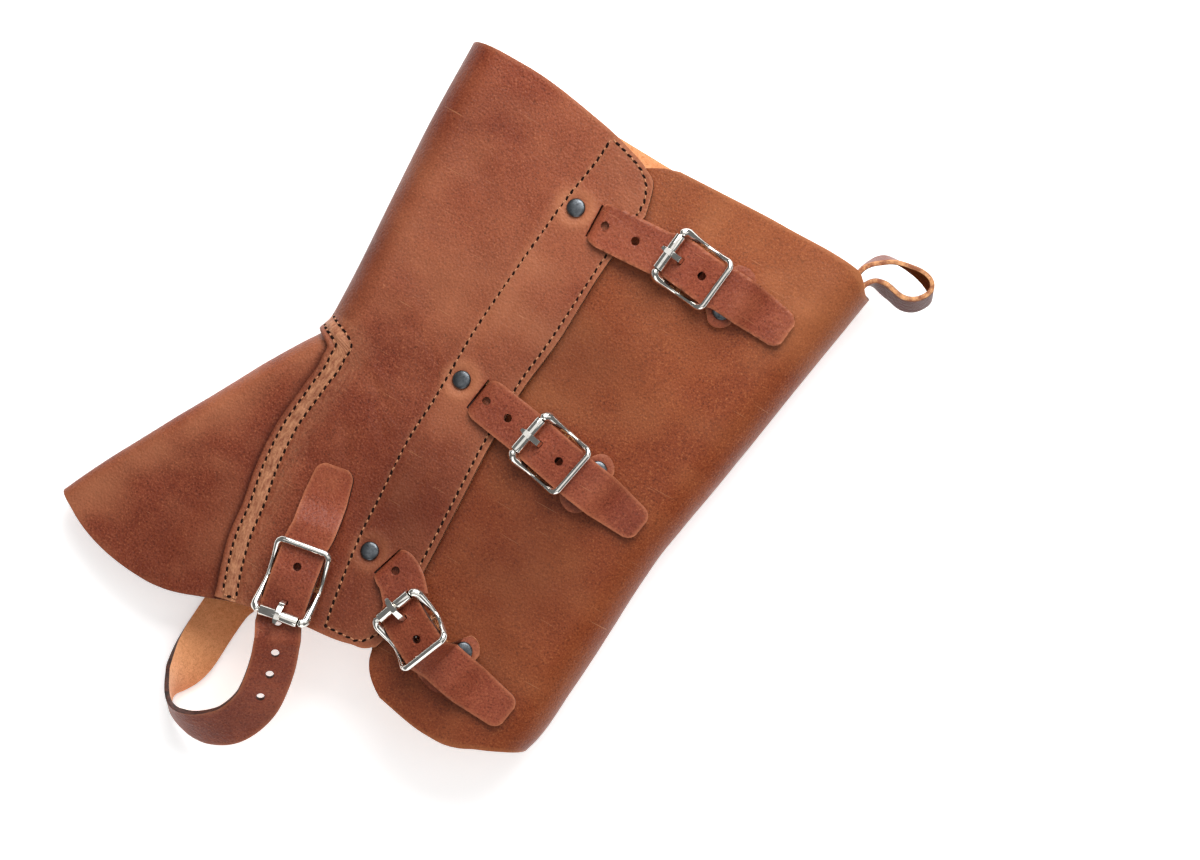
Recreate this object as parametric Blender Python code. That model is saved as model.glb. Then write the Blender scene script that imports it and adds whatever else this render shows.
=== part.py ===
"""Leather boot spat, left foot, lying flattened on its inner (medial) side.

Axes: +X towards the heel, +Y up the leg, +Z away from the surface it lies on.
The origin is a point on the underside of the medial panel. Sizes are in millimetres
and are turned to metres where each mesh is made.
"""
import math

import bmesh
import bpy
import numpy as np
from mathutils import Matrix, Vector

for old in list(bpy.data.objects):
    bpy.data.objects.remove(old, do_unlink=True)

MM = 0.001

# Leather and gaps
PANEL_T = 2.4          # main panel and vamp
FACING_T = 1.5         # strip behind the buttoning edge
STRAP_T = 2.2
CHAPE_T = 1.4          # folded tab that holds a buckle
LOOP_T = 2.2
GAP = 0.3
STRAP_HALF = 9.7       # half of a strap's width
UNDER = PANEL_T + GAP  # how far a layer below the main panel lies

# Flattened tube
CROWN = 4.0            # rise of the upper wall between the folds
BACK_R = 17.0          # radius of the fold at the calf
LAP = FACING_T + 2 * GAP + PANEL_T   # from the main panel's outer face to the underlap's
LAP_SLOPE = (-6.0, 1.0)   # the underlap drops away between these x, to clear the strap ends
STRAP_POCKET = STRAP_T + 0.7
STRAP_LIFT = 2.7       # the medial panel rises this much to clear the foot strap

# Each row is a level of the tube: front fold, back fold and fold radius.
LEVELS = {
    "y":      (-130.0, -114.0, -107.0, -80.0, -51.5, -24.0, -9.0, 0.0, 7.0, 23.0, 61.0, 98.0, 136.0),
    "front":  (-158.0, -149.5, -146.3, -132.0, -116.7, -101.6, -92.5, -86.8, -84.8, -85.2, -87.6, -89.8, -90.6),
    "back":   (74.0, 75.5, 77.5, 80.1, 81.7, 83.0, 84.5, 86.0, 87.2, 90.0, 96.0, 102.0, 108.0),
    "radius": (7.6, 8.0, 8.4, 9.6, 10.8, 12.0, 12.6, 13.0, 13.2, 13.5, 13.8, 14.0, 14.0),
}

# The arch of the main panel over the vamp: distance from the fold along the leather.
ARCH = {
    "y":   (-130.0, -120.0, -108.0, -94.0, -80.0, -65.0, -47.0, -25.0, -11.0, -4.0, 0.0),
    "arc": (97.0, 88.0, 78.6, 68.0, 59.0, 48.5, 37.8, 28.0, 20.6, 13.7, 0.0),
}
VAMP_MARGIN = 12.0
VAMP_TOP = 8.0

# Front edge of the placket, and edge of the underlap below it, by level.
PLACKET = {"y": (-130.0, -97.0, -65.0, -36.0, -7.0, 18.0, 42.0, 84.0, 108.0, 140.0),
           "x": (2.5, 2.5, 2.2, 1.0, -0.2, -0.1, 2.6, 4.5, 8.2, 12.0)}
UNDERLAP = {"y": (-126.0, -122.3, -117.3, -111.0, -106.0, -95.0, -80.0, 100.0, 118.0, 126.0, 133.0),
            "x": (20.0, 12.5, 5.5, 1.0, -0.2, -7.0, -13.0, -13.0, -8.0, -1.0, 6.0)}

# Hem and top line across each block, as a share of the block's width.
LATERAL_HEM = {"u": (0.0, 0.18, 0.51, 0.84, 0.95, 0.985, 1.0),
               "y": (-120.5, -117.6, -112.6, -108.9, -105.9, -102.5, -97.0)}
LATERAL_TOP = {"u": (0.0, 0.10, 0.29, 0.59, 0.73, 0.80, 0.89, 0.955, 1.0),
               "y": (135.9, 137.5, 138.1, 134.2, 131.1, 128.9, 125.3, 120.0, 108.0)}
MEDIAL_HEM = {"u": (0.0, 0.165, 0.30, 0.48, 0.67, 0.78, 0.84, 0.90, 0.95, 1.0),
              "y": (-120.5, -110.0, -106.5, -110.0, -112.5, -120.3, -124.2, -126.1, -125.6, -122.3)}
MEDIAL_TOP = {"u": (0.0, 0.10, 0.30, 0.50, 0.62, 0.66, 0.715, 0.745, 0.865, 1.0),
              "y": (135.9, 134.0, 132.5, 130.5, 127.0, 125.0, 130.5, 132.7, 133.5, 131.5)}
VAMP_HEM = {"u": (0.0, 0.13, 0.22, 0.325, 0.446, 0.585, 0.667, 0.817, 0.89, 1.0),
            "y": (-113.8, -118.1, -122.4, -126.3, -129.0, -129.9, -128.9, -123.8, -121.0, -117.5)}

# Roller buckle, in its own frame: a runs along the strap, b across it, c up.
WIRE_R = 1.3
WIRE_SIDES = 7
BAR_C = 3.3            # height of the centre bar
ROLLER_C = 10.0
END_C = 8.95
RAIL_B = 11.6
CORNER_R = 2.6
ROLLER_R = 2.4
ROLLER_BORE = 1.7
ROLLER_HALF = 9.0
PRONG_T = 1.5
PRONG_HALF = 1.3
RIVET_R = 4.0
RIVET_H = 1.3
RIVET_SHANK = 1.2
RIVET_FOOT_R = 3.4
RIVET_FOOT_H = 0.8
SEAT_GAP = 0.35        # under a rivet's cap, since the leather there is slightly curved
NECK_HALF = 8.5
WINDOW = {"a": -0.6, "half_a": 4.6, "half_b": 1.9, "low": -0.6, "high": 7.4}
EAR_A = 19.5           # chape rivets, measured from the centre bar
EAR_B = 6.8
EAR_R = 7.4
TAB_END = 25.8         # end of a closure tab, measured from the centre bar

# Closures from the top down. The strap is laid through these points of the plan:
# hidden end, slot, a point just past it, roller, centre bar, end bar, a point past it, tip.
# The tab's ears lie to one side of the strap by ear_shift.
CLOSURES = (
    {"path": ((-34.0, 95.4), (-8.0, 95.7), (10.0, 96.6), (24.3, 97.6), (36.5, 98.2), (48.6, 97.9),
              (64.0, 97.0), (84.5, 94.8)),
     "turn": -6.0, "pitch": 0.0, "roll": 0.0, "rivet": (-18.8, 96.5), "tip_half": 8.0,
     "ear_shift": -1.2, "holes": (-41.0, -26.8, 4.6)},
    {"path": ((-39.5, 12.0), (-13.9, 8.2), (0.0, 6.1), (12.6, 4.2), (23.8, 2.0), (35.0, -0.4),
              (50.0, -2.6), (72.0, -6.0)),
     "turn": -11.0, "pitch": 0.0, "roll": 0.0, "rivet": (-24.3, 10.2), "tip_half": 7.2,
     "ear_shift": 0.8, "holes": (-35.0, -23.6, 4.6)},
    {"path": ((-37.0, -67.0), (-11.9, -71.4), (-6.0, -73.6), (3.4, -82.6), (13.3, -89.5), (23.6, -94.6),
              (38.0, -97.9), (63.0, -101.7)),
     "turn": -27.0, "pitch": 16.0, "roll": 16.0, "rivet": (-21.7, -71.1), "tip_half": 7.6,
     "ear_shift": 2.3, "holes": (-27.5, 4.6)},
)
CENTRE_POINT = 4       # which point of a closure's path is the centre bar
SLOT_HALF_A = 2.45
SLOT_HALF_B = 10.4
BEND_R = 2.5

# Foot strap
FOOT_BUCKLE = {"x": -42.0, "y": -98.1, "turn": 100.6, "reach": 15.4}
FOOT_TIP = (-50.5, -47.2)
FOOT_SLOT = (-51.0, -88.0)
FOOT_RIVETS = ((-43.4, -65.0), (-47.6, -78.0))
FOOT_END = (-40.9, -57.5)
# The free loop, from the hem on the medial side round to the buckle; roll is the turn
# of the strap about its own length, 0 with the flesh side up and 180 with the grain up.
FOOT_LOOP = {
    "x":    (-57.0, -60.8, -63.6, -64.8, -65.2, -66.4, -66.0, -61.5, -54.0, -44.5, -35.5, -31.2,
             -32.8, -36.4),
    "y":    (-103.0, -114.0, -122.0, -136.0, -149.0, -159.5, -167.0, -172.0, -173.5, -171.0, -162.5,
             -148.0, -134.0, -122.0),
    "z":    (1.1, 1.1, 1.1, 2.2, 6.0, 9.6, 11.2, 12.2, 14.0, 18.0, 24.5, 32.0, 38.0, 42.5),
    "roll": (0.0, 0.0, 0.0, 5.0, 24.0, 58.0, 88.0, 100.0, 113.0, 132.0, 149.0, 160.0, 169.0, 177.0),
}

# Pull loop, standing on edge in the back fold
LOOP_Z = 18.2
LOOP_HALF = 6.0
PULL_LOOP = ((94.2, 106.0), (96.2, 116.0), (97.6, 126.0), (98.1, 134.2), (101.0, 140.0), (105.6, 143.9),
             (111.5, 145.4), (117.6, 145.7), (122.8, 145.1), (127.1, 143.2), (128.8, 139.8), (127.5, 136.2),
             (124.2, 132.8), (119.2, 131.4), (112.7, 132.6), (107.0, 133.0), (103.2, 131.0), (101.5, 125.5),
             (99.5, 116.0), (97.5, 106.0))


def curve(table, key, at):
    """Smooth curve through a table's rows: cubic Hermite with slopes from the neighbours."""
    first = next(iter(table))
    xs = np.array(table[first], float)
    ys = np.array(table[key], float)
    at = np.clip(np.asarray(at, float), xs[0], xs[-1])
    slope = np.gradient(ys, xs)
    step = np.diff(xs)
    rise = np.diff(ys) / step
    flat = np.concatenate(([False], rise[:-1] * rise[1:] <= 0.0, [False]))
    slope = np.where(flat, 0.0, slope)
    i = np.clip(np.searchsorted(xs, at, side="right") - 1, 0, len(xs) - 2)
    h = step[i]
    s = (at - xs[i]) / h
    return ((1 + 2 * s) * (1 - s) ** 2 * ys[i] + s * (1 - s) ** 2 * h * slope[i]
            + s * s * (3 - 2 * s) * ys[i + 1] + s * s * (s - 1) * h * slope[i + 1])


def ease(s):
    s = np.clip(s, 0.0, 1.0)
    return s * s * (3 - 2 * s)


def level(key, y):
    return curve(LEVELS, key, y)


def upper_line(x, y):
    """Height of the upper wall's middle line, and its slope along x."""
    start = level("front", y) + level("radius", y)
    width = level("back", y) - BACK_R - start
    w = np.clip((x - start) / width, 0.0, 1.0)
    low = PANEL_T / 2 + 2 * level("radius", y)
    high = PANEL_T / 2 + 2 * BACK_R + LAP
    z = low + (high - low) * ease(w) + CROWN * np.sin(math.pi * w) ** 2
    slope = ((high - low) * 6 * w * (1 - w) + CROWN * math.pi * np.sin(2 * math.pi * w)) / width
    return z, slope


def top_face(x, y):
    """Height of the lateral wall's outer face; the underlap's lies LAP below it."""
    return upper_line(x, y)[0] + PANEL_T / 2


def face_normal(x, y):
    """Unit normal of the lateral wall's outer face."""
    step = 0.5
    slope_x = float(top_face(x + step, y) - top_face(x - step, y)) / (2 * step)
    slope_y = float(top_face(x, y + step) - top_face(x, y - step)) / (2 * step)
    return Vector((-slope_x, -slope_y, 1.0)).normalized()


def lap_drop(x):
    return LAP + STRAP_POCKET * ease((LAP_SLOPE[1] - x) / (LAP_SLOPE[1] - LAP_SLOPE[0]))


def lift_at(x, y):
    return STRAP_LIFT * ease((-38.0 - y) / 18.0) * ease((-14.0 - x) / 14.0)


def section(s, y, inward):
    """A point of the tube. s is the distance from the front fold along the leather,
    positive over the lateral side, negative over the medial side and round the back."""
    s = np.asarray(s, float)
    y = np.asarray(y, float)
    radius = level("radius", y)
    front = level("front", y) + radius
    back = level("back", y) - BACK_R
    quarter = math.pi / 2 * radius
    width = back - front
    turn = math.pi - s / radius
    round_back = -s - quarter - width
    back_turn = round_back / BACK_R - math.pi / 2
    over = round_back - math.pi * BACK_R
    lateral_x = front + s - quarter
    lap_x = back - over
    top, top_slope = upper_line(lateral_x, y)
    lap, lap_slope = upper_line(lap_x, y)
    dip = 0.01
    lap_slope = lap_slope - (lap_drop(lap_x + dip) - lap_drop(lap_x - dip)) / (2 * dip)
    zone = [s >= quarter, s >= -quarter, round_back <= 0.0, over <= 0.0]
    x = np.select(zone, [lateral_x, front + radius * np.cos(turn), front - s - quarter,
                         back + BACK_R * np.cos(back_turn)], lap_x)
    z = np.select(zone, [top, PANEL_T / 2 + radius + radius * np.sin(turn), PANEL_T / 2 + 0 * s,
                         PANEL_T / 2 + BACK_R + BACK_R * np.sin(back_turn)], lap - lap_drop(lap_x))
    nx = np.select(zone, [-top_slope, np.cos(turn), 0 * s, np.cos(back_turn)], -lap_slope)
    nz = np.select(zone, [1 + 0 * s, np.sin(turn), -1 + 0 * s, np.sin(back_turn)], 1 + 0 * s)
    size = np.hypot(nx, nz)
    x = x - inward * nx / size
    z = z - inward * nz / size
    roof = upper_line(x, y)[0] - PANEL_T / 2
    z = z + lift_at(x, y) * np.clip(1 - (z - PANEL_T / 2) / roof, 0.0, 1.2)
    return np.stack([x, y, z], axis=-1)


def placket_s(y):
    radius = level("radius", y)
    return curve(PLACKET, "x", y) - level("front", y) - radius + math.pi / 2 * radius


def underlap_s(y):
    radius = level("radius", y)
    back = level("back", y) - BACK_R
    width = back - level("front", y) - radius
    return -(math.pi / 2 * radius + width + math.pi * BACK_R + back - curve(UNDERLAP, "x", y))


def arch_arc(y):
    return np.where(y >= 0.0, 0.0, curve(ARCH, "arc", np.minimum(y, 0.0)))


def lateral_grid(u, v):
    hem = curve(LATERAL_HEM, "y", u)
    y = hem + v * (curve(LATERAL_TOP, "y", u) - hem)
    seam = arch_arc(y)
    return seam + u * (placket_s(y) - seam), y


def medial_grid(u, v):
    hem = curve(MEDIAL_HEM, "y", u)
    y = hem + v * (curve(MEDIAL_TOP, "y", u) - hem)
    seam = -arch_arc(y)
    return seam + u * (underlap_s(y) - seam), y


def vamp_grid(u, v):
    hem = curve(VAMP_HEM, "y", np.abs(u))
    y = hem + v * (VAMP_TOP - hem)
    return u * (arch_arc(y) + VAMP_MARGIN), y


def quads(index):
    """Faces of a grid of vertex numbers."""
    return np.stack([index[:-1, :-1], index[1:, :-1], index[1:, 1:], index[:-1, 1:]], axis=-1).reshape(-1, 4)


def add_object(name, points, faces, finish, smooth=True):
    """One closed mesh object, from points in millimetres."""
    mesh = bpy.data.meshes.new(name)
    mesh.from_pydata((np.asarray(points) * MM).tolist(), [], [list(map(int, f)) for f in faces])
    work = bmesh.new()
    work.from_mesh(mesh)
    bmesh.ops.recalc_face_normals(work, faces=work.faces)
    work.to_mesh(mesh)
    work.free()
    if smooth:
        mesh.shade_smooth()
        mesh.set_sharp_from_angle(angle=math.radians(35))
    obj = bpy.data.objects.new(name, mesh)
    bpy.context.scene.collection.objects.link(obj)
    if finish:
        mesh.materials.append(finish)
    return obj


def wall(name, outer, inner, faces, finish):
    """Closed sheet between two layers of the same vertices, with a rim along each free edge."""
    count = len(outer)
    faces = np.asarray(faces)
    edges = np.concatenate([faces[:, [0, 1]], faces[:, [1, 2]], faces[:, [2, 3]], faces[:, [3, 0]]])
    keys = np.sort(edges, axis=1)
    _, where, times = np.unique(keys, axis=0, return_inverse=True, return_counts=True)
    rim = edges[times[where.ravel()] == 1]
    rims = np.stack([rim[:, 1], rim[:, 0], rim[:, 0] + count, rim[:, 1] + count], axis=-1)
    return add_object(name, np.concatenate([outer, inner]),
                      np.concatenate([faces, faces[:, ::-1] + count, rims]), finish)


def finish_of(name, colour, roughness, metallic=0.0):
    material = bpy.data.materials.new(name)
    material.use_nodes = True
    shader = material.node_tree.nodes["Principled BSDF"]
    shader.inputs["Base Color"].default_value = (*colour, 1.0)
    shader.inputs["Roughness"].default_value = roughness
    shader.inputs["Metallic"].default_value = metallic
    return material


PANEL_LEATHER = finish_of("panel_leather", (0.16, 0.045, 0.02), 0.45)
STRAP_LEATHER = finish_of("strap_leather", (0.12, 0.03, 0.018), 0.42)
NICKEL = finish_of("nickel", (0.78, 0.77, 0.74), 0.16, 1.0)
BLACK_METAL = finish_of("black_metal", (0.03, 0.03, 0.032), 0.3, 1.0)


def build_main_panel():
    """One hide piece: lateral side, over the shin fold, medial side, round the calf, underlap."""
    hem_y = LATERAL_HEM["y"][0]
    top_y = LATERAL_TOP["y"][0]
    seam_rows = np.array([hem_y, -108, -94, -80, -65, -47, -25, -13, -8, -5, -3, -1.3, 0,
                          3, 8, 23, 44, 66, 86, 104, 121, top_y])
    v = (seam_rows - hem_y) / (top_y - hem_y)
    lateral_u = np.array([0, 0.03, 0.06, 0.09, 0.12, 0.18, 0.27, 0.38, 0.5, 0.62, 0.73, 0.82, 0.9, 0.955, 0.985, 1.0])
    medial_u = np.concatenate([[0, 0.012, 0.024, 0.036, 0.048, 0.06, 0.08, 0.11, 0.16], np.linspace(0.23, 0.53, 6),
                               np.linspace(0.57, 0.82, 12), np.linspace(0.86, 1, 5)])
    lateral = lateral_grid(*np.meshgrid(lateral_u, v, indexing="ij"))
    medial = medial_grid(*np.meshgrid(medial_u, v, indexing="ij"))
    lateral_index = np.arange(lateral[0].size).reshape(lateral[0].shape)
    medial_index = np.arange(medial[0].size).reshape(medial[0].shape) + lateral_index.size
    shared = seam_rows >= 0
    medial_index[0, shared] = lateral_index[0, shared]
    s = np.concatenate([lateral[0].ravel(), medial[0].ravel()])
    y = np.concatenate([lateral[1].ravel(), medial[1].ravel()])
    faces = np.concatenate([quads(lateral_index), quads(medial_index)[:, ::-1]])
    used = np.unique(faces)
    slim = np.zeros(len(s), int)
    slim[used] = np.arange(len(used))
    return wall("main_panel", section(s[used], y[used], -PANEL_T / 2), section(s[used], y[used], PANEL_T / 2),
                slim[faces], PANEL_LEATHER)


def build_sheet(name, grid, u, v, depth, thickness, finish):
    """A sheet on the tube whose outer face lies depth below the main panel's."""
    s, y = grid(*np.meshgrid(u, v, indexing="ij"))
    index = np.arange(s.size).reshape(s.shape)
    s = s.ravel()
    y = y.ravel()
    top = depth - PANEL_T / 2
    return wall(name, section(s, y, top), section(s, y, top + thickness), quads(index), finish)


def strip_layers(a, c, half, thickness, columns):
    """Both faces of a strip in a buckle's frame, from its profile in a and c."""
    da = np.gradient(a)
    dc = np.gradient(c)
    size = np.hypot(da, dc)
    b = np.linspace(-1, 1, columns)
    layers = []
    for side in (0.5, -0.5):
        pa = a - side * thickness * dc / size
        pc = c + side * thickness * da / size
        grid = np.stack([np.repeat(pa[:, None], columns, 1), half[:, None] * b[None, :],
                         np.repeat(pc[:, None], columns, 1)], axis=-1)
        layers.append(grid.reshape(-1, 3))
    return layers, quads(np.arange(len(a) * columns).reshape(len(a), columns))


def strip_in_space(name, centre, edge, half, thickness, columns, finish):
    """Strap along points in space, with its width along the edge directions."""
    along = np.gradient(centre, axis=0)
    along /= np.linalg.norm(along, axis=1)[:, None]
    normal = np.cross(along, edge)
    normal /= np.linalg.norm(normal, axis=1)[:, None]
    across = np.cross(normal, along)
    b = np.linspace(-1, 1, columns)
    middle = centre[:, None, :] + across[:, None, :] * (half[:, None] * b[None, :])[:, :, None]
    shift = normal[:, None, :] * thickness / 2
    return wall(name, (middle + shift).reshape(-1, 3), (middle - shift).reshape(-1, 3),
                quads(np.arange(len(centre) * columns).reshape(len(centre), columns)), finish)


class Place:
    """A buckle's frame, and the strap's course over the leather on both sides of it."""

    def __init__(self, x, y, turn, pitch, roll, below, path=None):
        angle = math.radians(turn)
        up = face_normal(x, y)
        along = Vector((math.cos(angle), math.sin(angle), 0.0))
        along = (along - up * along.dot(up)).normalized()
        spin = Matrix.Rotation(math.radians(-pitch), 3, up.cross(along))
        along = spin @ along
        up = spin @ up
        spin = Matrix.Rotation(math.radians(roll), 3, along)
        up = spin @ up
        self.axes = np.array([along[:], up.cross(along)[:], up[:]])
        self.below = below
        self.foot = np.array([x, y, float(top_face(x, y)) - below])
        raise_by = abs(math.sin(math.radians(roll))) * 11.5 + abs(math.sin(math.radians(pitch))) * 10.0
        self.foot = self.foot + np.array([0.0, 0.0, raise_by])
        self.path = path

    def rigid(self, points):
        return self.foot + points @ self.axes

    def laid(self, points):
        """Points of the frame carried onto the leather along the strap's path."""
        path = self.path
        a = points[:, 0]
        tx = curve(path, "x", a + 0.5) - curve(path, "x", a - 0.5)
        ty = curve(path, "y", a + 0.5) - curve(path, "y", a - 0.5)
        size = np.hypot(tx, ty)
        x = curve(path, "x", a) - points[:, 1] * ty / size
        y = curve(path, "y", a) + points[:, 1] * tx / size
        return np.stack([x, y, top_face(x, y) - self.below + points[:, 2]], axis=-1)

    def blended(self, points):
        """The buckle's frame near the centre bar, the leather's further off."""
        share = ease((np.abs(points[:, 0]) - 12.2) / 3.0)[:, None]
        return self.rigid(points) * (1 - share) + self.laid(points) * share


def path_table(points, centre_index):
    """Plan path with distances measured from the centre bar."""
    points = np.array(points)
    last = points[-1] - points[-2]
    points = np.concatenate([points, [points[-1] + 10.0 * last / np.linalg.norm(last)]])
    steps = np.hypot(*np.diff(points, axis=0).T)
    a = np.concatenate([[0.0], np.cumsum(steps)])
    a = a - a[centre_index]
    return {"a": tuple(a), "x": tuple(points[:, 0]), "y": tuple(points[:, 1])}


def buckle_height(a, reach):
    """Height of the frame's side rails: low at the centre bar, high at both ends."""
    share = np.clip(np.abs(a) / reach, 0.0, 1.0) ** 1.4
    return BAR_C + share * np.where(a < 0, ROLLER_C - BAR_C, END_C - BAR_C)


def build_buckle(tag, place, reach):
    """Frame with its centre bar, roller and prong."""
    corner = np.linspace(0, math.pi / 2, 4)
    outline = []
    for quarter, (sa, sb) in enumerate(((1, 1), (-1, 1), (-1, -1), (1, -1))):
        angles = corner + quarter * math.pi / 2
        outline += [(sa * (reach - CORNER_R) + CORNER_R * math.cos(t),
                     sb * (RAIL_B - CORNER_R) + CORNER_R * math.sin(t)) for t in angles]
        if sa * sb > 0:
            rail_a = np.linspace(sa * (reach - CORNER_R), -sa * (reach - CORNER_R), 7)[1:-1]
            outline += [(a, sb * RAIL_B) for a in rail_a]
    outline = np.array(outline)
    centre = np.column_stack([outline, buckle_height(outline[:, 0], reach)])
    along = np.roll(centre, -1, axis=0) - np.roll(centre, 1, axis=0)
    side = np.cross(along, (0.0, 0.0, 1.0))
    side /= np.linalg.norm(side, axis=1)[:, None]
    upward = np.cross(side, along)
    upward /= np.linalg.norm(upward, axis=1)[:, None]
    turn = np.arange(WIRE_SIDES) * 2 * math.pi / WIRE_SIDES
    rings = (centre[:, None, :] + WIRE_R * (np.cos(turn)[None, :, None] * side[:, None, :]
                                            + np.sin(turn)[None, :, None] * upward[:, None, :]))
    count = len(centre)
    index = np.arange(count * WIRE_SIDES).reshape(count, WIRE_SIDES)
    index = np.concatenate([index, index[:1]], axis=0)
    index = np.concatenate([index, index[:, :1]], axis=1)
    frame = add_object(f"{tag}_buckle_frame", place.rigid(rings.reshape(-1, 3)), quads(index), NICKEL)
    bar = tube_across(f"{tag}_bar_tool", place, 0.0, BAR_C, WIRE_R * 0.98, RAIL_B, WIRE_SIDES, None)
    merge = frame.modifiers.new("centre bar", "BOOLEAN")
    merge.operation = "UNION"
    merge.solver = "EXACT"
    merge.object = bar
    hide_tool(bar)
    build_roller(tag, place, -reach)
    build_prong(tag, place, reach)


def hide_tool(obj):
    obj.hide_render = True
    obj.display_type = "WIRE"


def tube_across(name, place, a, c, radius, half, sides, finish):
    turn = (np.arange(sides) + 0.5) * 2 * math.pi / sides
    ring = np.column_stack([a + radius * np.cos(turn), 0 * turn, c + radius * np.sin(turn)])
    points = np.concatenate([ring + (0, -half, 0), ring + (0, half, 0)])
    faces = [[i, (i + 1) % sides, sides + (i + 1) % sides, sides + i] for i in range(sides)]
    faces += [list(range(sides)), list(range(sides, 2 * sides))]
    return add_object(name, place.rigid(points), faces, finish)


def build_roller(tag, place, a):
    sides = 14
    turn = np.arange(sides) * 2 * math.pi / sides
    rings = []
    for radius, b in ((ROLLER_R, -ROLLER_HALF), (ROLLER_R, ROLLER_HALF),
                      (ROLLER_BORE, ROLLER_HALF), (ROLLER_BORE, -ROLLER_HALF)):
        rings.append(np.column_stack([a + radius * np.cos(turn), b + 0 * turn, ROLLER_C + radius * np.sin(turn)]))
    index = np.arange(4 * sides).reshape(4, sides)
    index = np.concatenate([index, index[:1]], axis=0)
    index = np.concatenate([index, index[:, :1]], axis=1)
    add_object(f"{tag}_roller", place.rigid(np.concatenate(rings)), quads(index), NICKEL)


def prong_profile(reach):
    """Wrapped round the centre bar, up through the strap and down onto the roller."""
    ring = WIRE_R + GAP + PRONG_T / 2
    turn = np.radians(np.linspace(100.0, -143.0, 12))
    a = list(ring * np.cos(turn))
    c = list(BAR_C + ring * np.sin(turn))
    over = ROLLER_C + ROLLER_R + PRONG_T / 2 + GAP
    a += [-reach + 6.0, -reach + 3.4, -reach + 1.6, -reach, -reach - 1.7, -reach - 3.4]
    c += [8.2, over - 2.0, over - 0.4, over, over - 0.1, over - 0.6]
    return np.array(a), np.array(c)


def build_prong(tag, place, reach):
    a, c = prong_profile(reach)
    half = np.full(len(a), PRONG_HALF)
    half[-1] = PRONG_HALF * 0.55
    layers, faces = strip_layers(a, c, half, PRONG_T, 2)
    wall(f"{tag}_prong", place.rigid(layers[0]), place.rigid(layers[1]), faces, NICKEL)


def prong_cutter(name, place, reach):
    a, c = prong_profile(reach)
    a = a[12:]
    c = c[12:]
    a = np.concatenate([[-2.6], a[:3]])
    c = np.concatenate([[3.2], c[:3]])
    layers, faces = strip_layers(a, c, np.full(len(a), PRONG_HALF + 0.5), PRONG_T + 1.2, 2)
    cutter = wall(name, place.rigid(layers[0]), place.rigid(layers[1]), faces, None)
    hide_tool(cutter)
    return cutter


def prism(centre, axes, half_a, half_b, low, high):
    """Corner points and faces of a box along the given axes."""
    corners = [(a, b, c) for c in (low, high) for b in (-half_b, half_b) for a in (-half_a, half_a)]
    faces = [(0, 1, 3, 2), (4, 6, 7, 5), (0, 4, 5, 1), (1, 5, 7, 3), (3, 7, 6, 2), (2, 6, 4, 0)]
    return np.asarray(centre) + np.array(corners) @ np.asarray(axes), faces


def pin(centre, up, radius, low, high, sides=10):
    """Points and faces of a short cylinder along up."""
    up = Vector(up).normalized()
    side = up.orthogonal().normalized()
    other = up.cross(side)
    turn = np.arange(sides) * 2 * math.pi / sides
    ring = radius * (np.cos(turn)[:, None] * np.array(side[:]) + np.sin(turn)[:, None] * np.array(other[:]))
    base = np.asarray(centre, float)
    points = np.concatenate([base + ring + low * np.array(up[:]), base + ring + high * np.array(up[:])])
    faces = [[i, (i + 1) % sides, sides + (i + 1) % sides, sides + i] for i in range(sides)]
    faces += [list(range(sides))[::-1], list(range(sides, 2 * sides))]
    return points, faces


def joined_tool(name, shapes):
    points = []
    faces = []
    for shape_points, shape_faces in shapes:
        start = len(points)
        points += list(shape_points)
        faces += [[start + i for i in face] for face in shape_faces]
    tool = add_object(name, points, faces, None, smooth=False)
    hide_tool(tool)
    return tool


def prong_window(name, place):
    """Cutter for the slot in a chape's fold, where the prong's ring sits on the centre bar."""
    points, faces = prism((WINDOW["a"], 0, 0), np.eye(3), WINDOW["half_a"], WINDOW["half_b"],
                          WINDOW["low"], WINDOW["high"])
    return joined_tool(name, [(place.rigid(points), faces)])


def cut(obj, tool):
    modifier = obj.modifiers.new(tool.name, "BOOLEAN")
    modifier.operation = "DIFFERENCE"
    modifier.solver = "EXACT"
    modifier.object = tool


def build_rivet(name, seat, up, grip):
    """Domed cap on a shank, with a flat foot on the other side of the leather."""
    dome = [(0.0, RIVET_H), (2.3, RIVET_H * 0.8), (RIVET_R, RIVET_H * 0.25),
            (RIVET_R, 0.0), (RIVET_SHANK, 0.0), (RIVET_SHANK, -grip), (RIVET_FOOT_R, -grip),
            (RIVET_FOOT_R, -grip - RIVET_FOOT_H), (0.0, -grip - RIVET_FOOT_H)]
    up = Vector(up).normalized()
    side = up.orthogonal().normalized()
    other = up.cross(side)
    sides = 10
    turn = np.arange(sides) * 2 * math.pi / sides
    spoke = np.cos(turn)[:, None] * np.array(side[:]) + np.sin(turn)[:, None] * np.array(other[:])
    axis = np.array(up[:])
    points = [np.asarray(seat) + dome[0][1] * axis]
    for radius, height in dome[1:-1]:
        points += list(np.asarray(seat) + radius * spoke + height * axis)
    points.append(np.asarray(seat) + dome[-1][1] * axis)
    faces = [[0, 1 + i, 1 + (i + 1) % sides] for i in range(sides)]
    for ring in range(len(dome) - 3):
        a = 1 + ring * sides
        faces += [[a + i, a + sides + i, a + sides + (i + 1) % sides, a + (i + 1) % sides] for i in range(sides)]
    last = 1 + (len(dome) - 3) * sides
    faces += [[last + (i + 1) % sides, last + i, len(points) - 1] for i in range(sides)]
    add_object(name, points, faces, BLACK_METAL)


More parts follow.
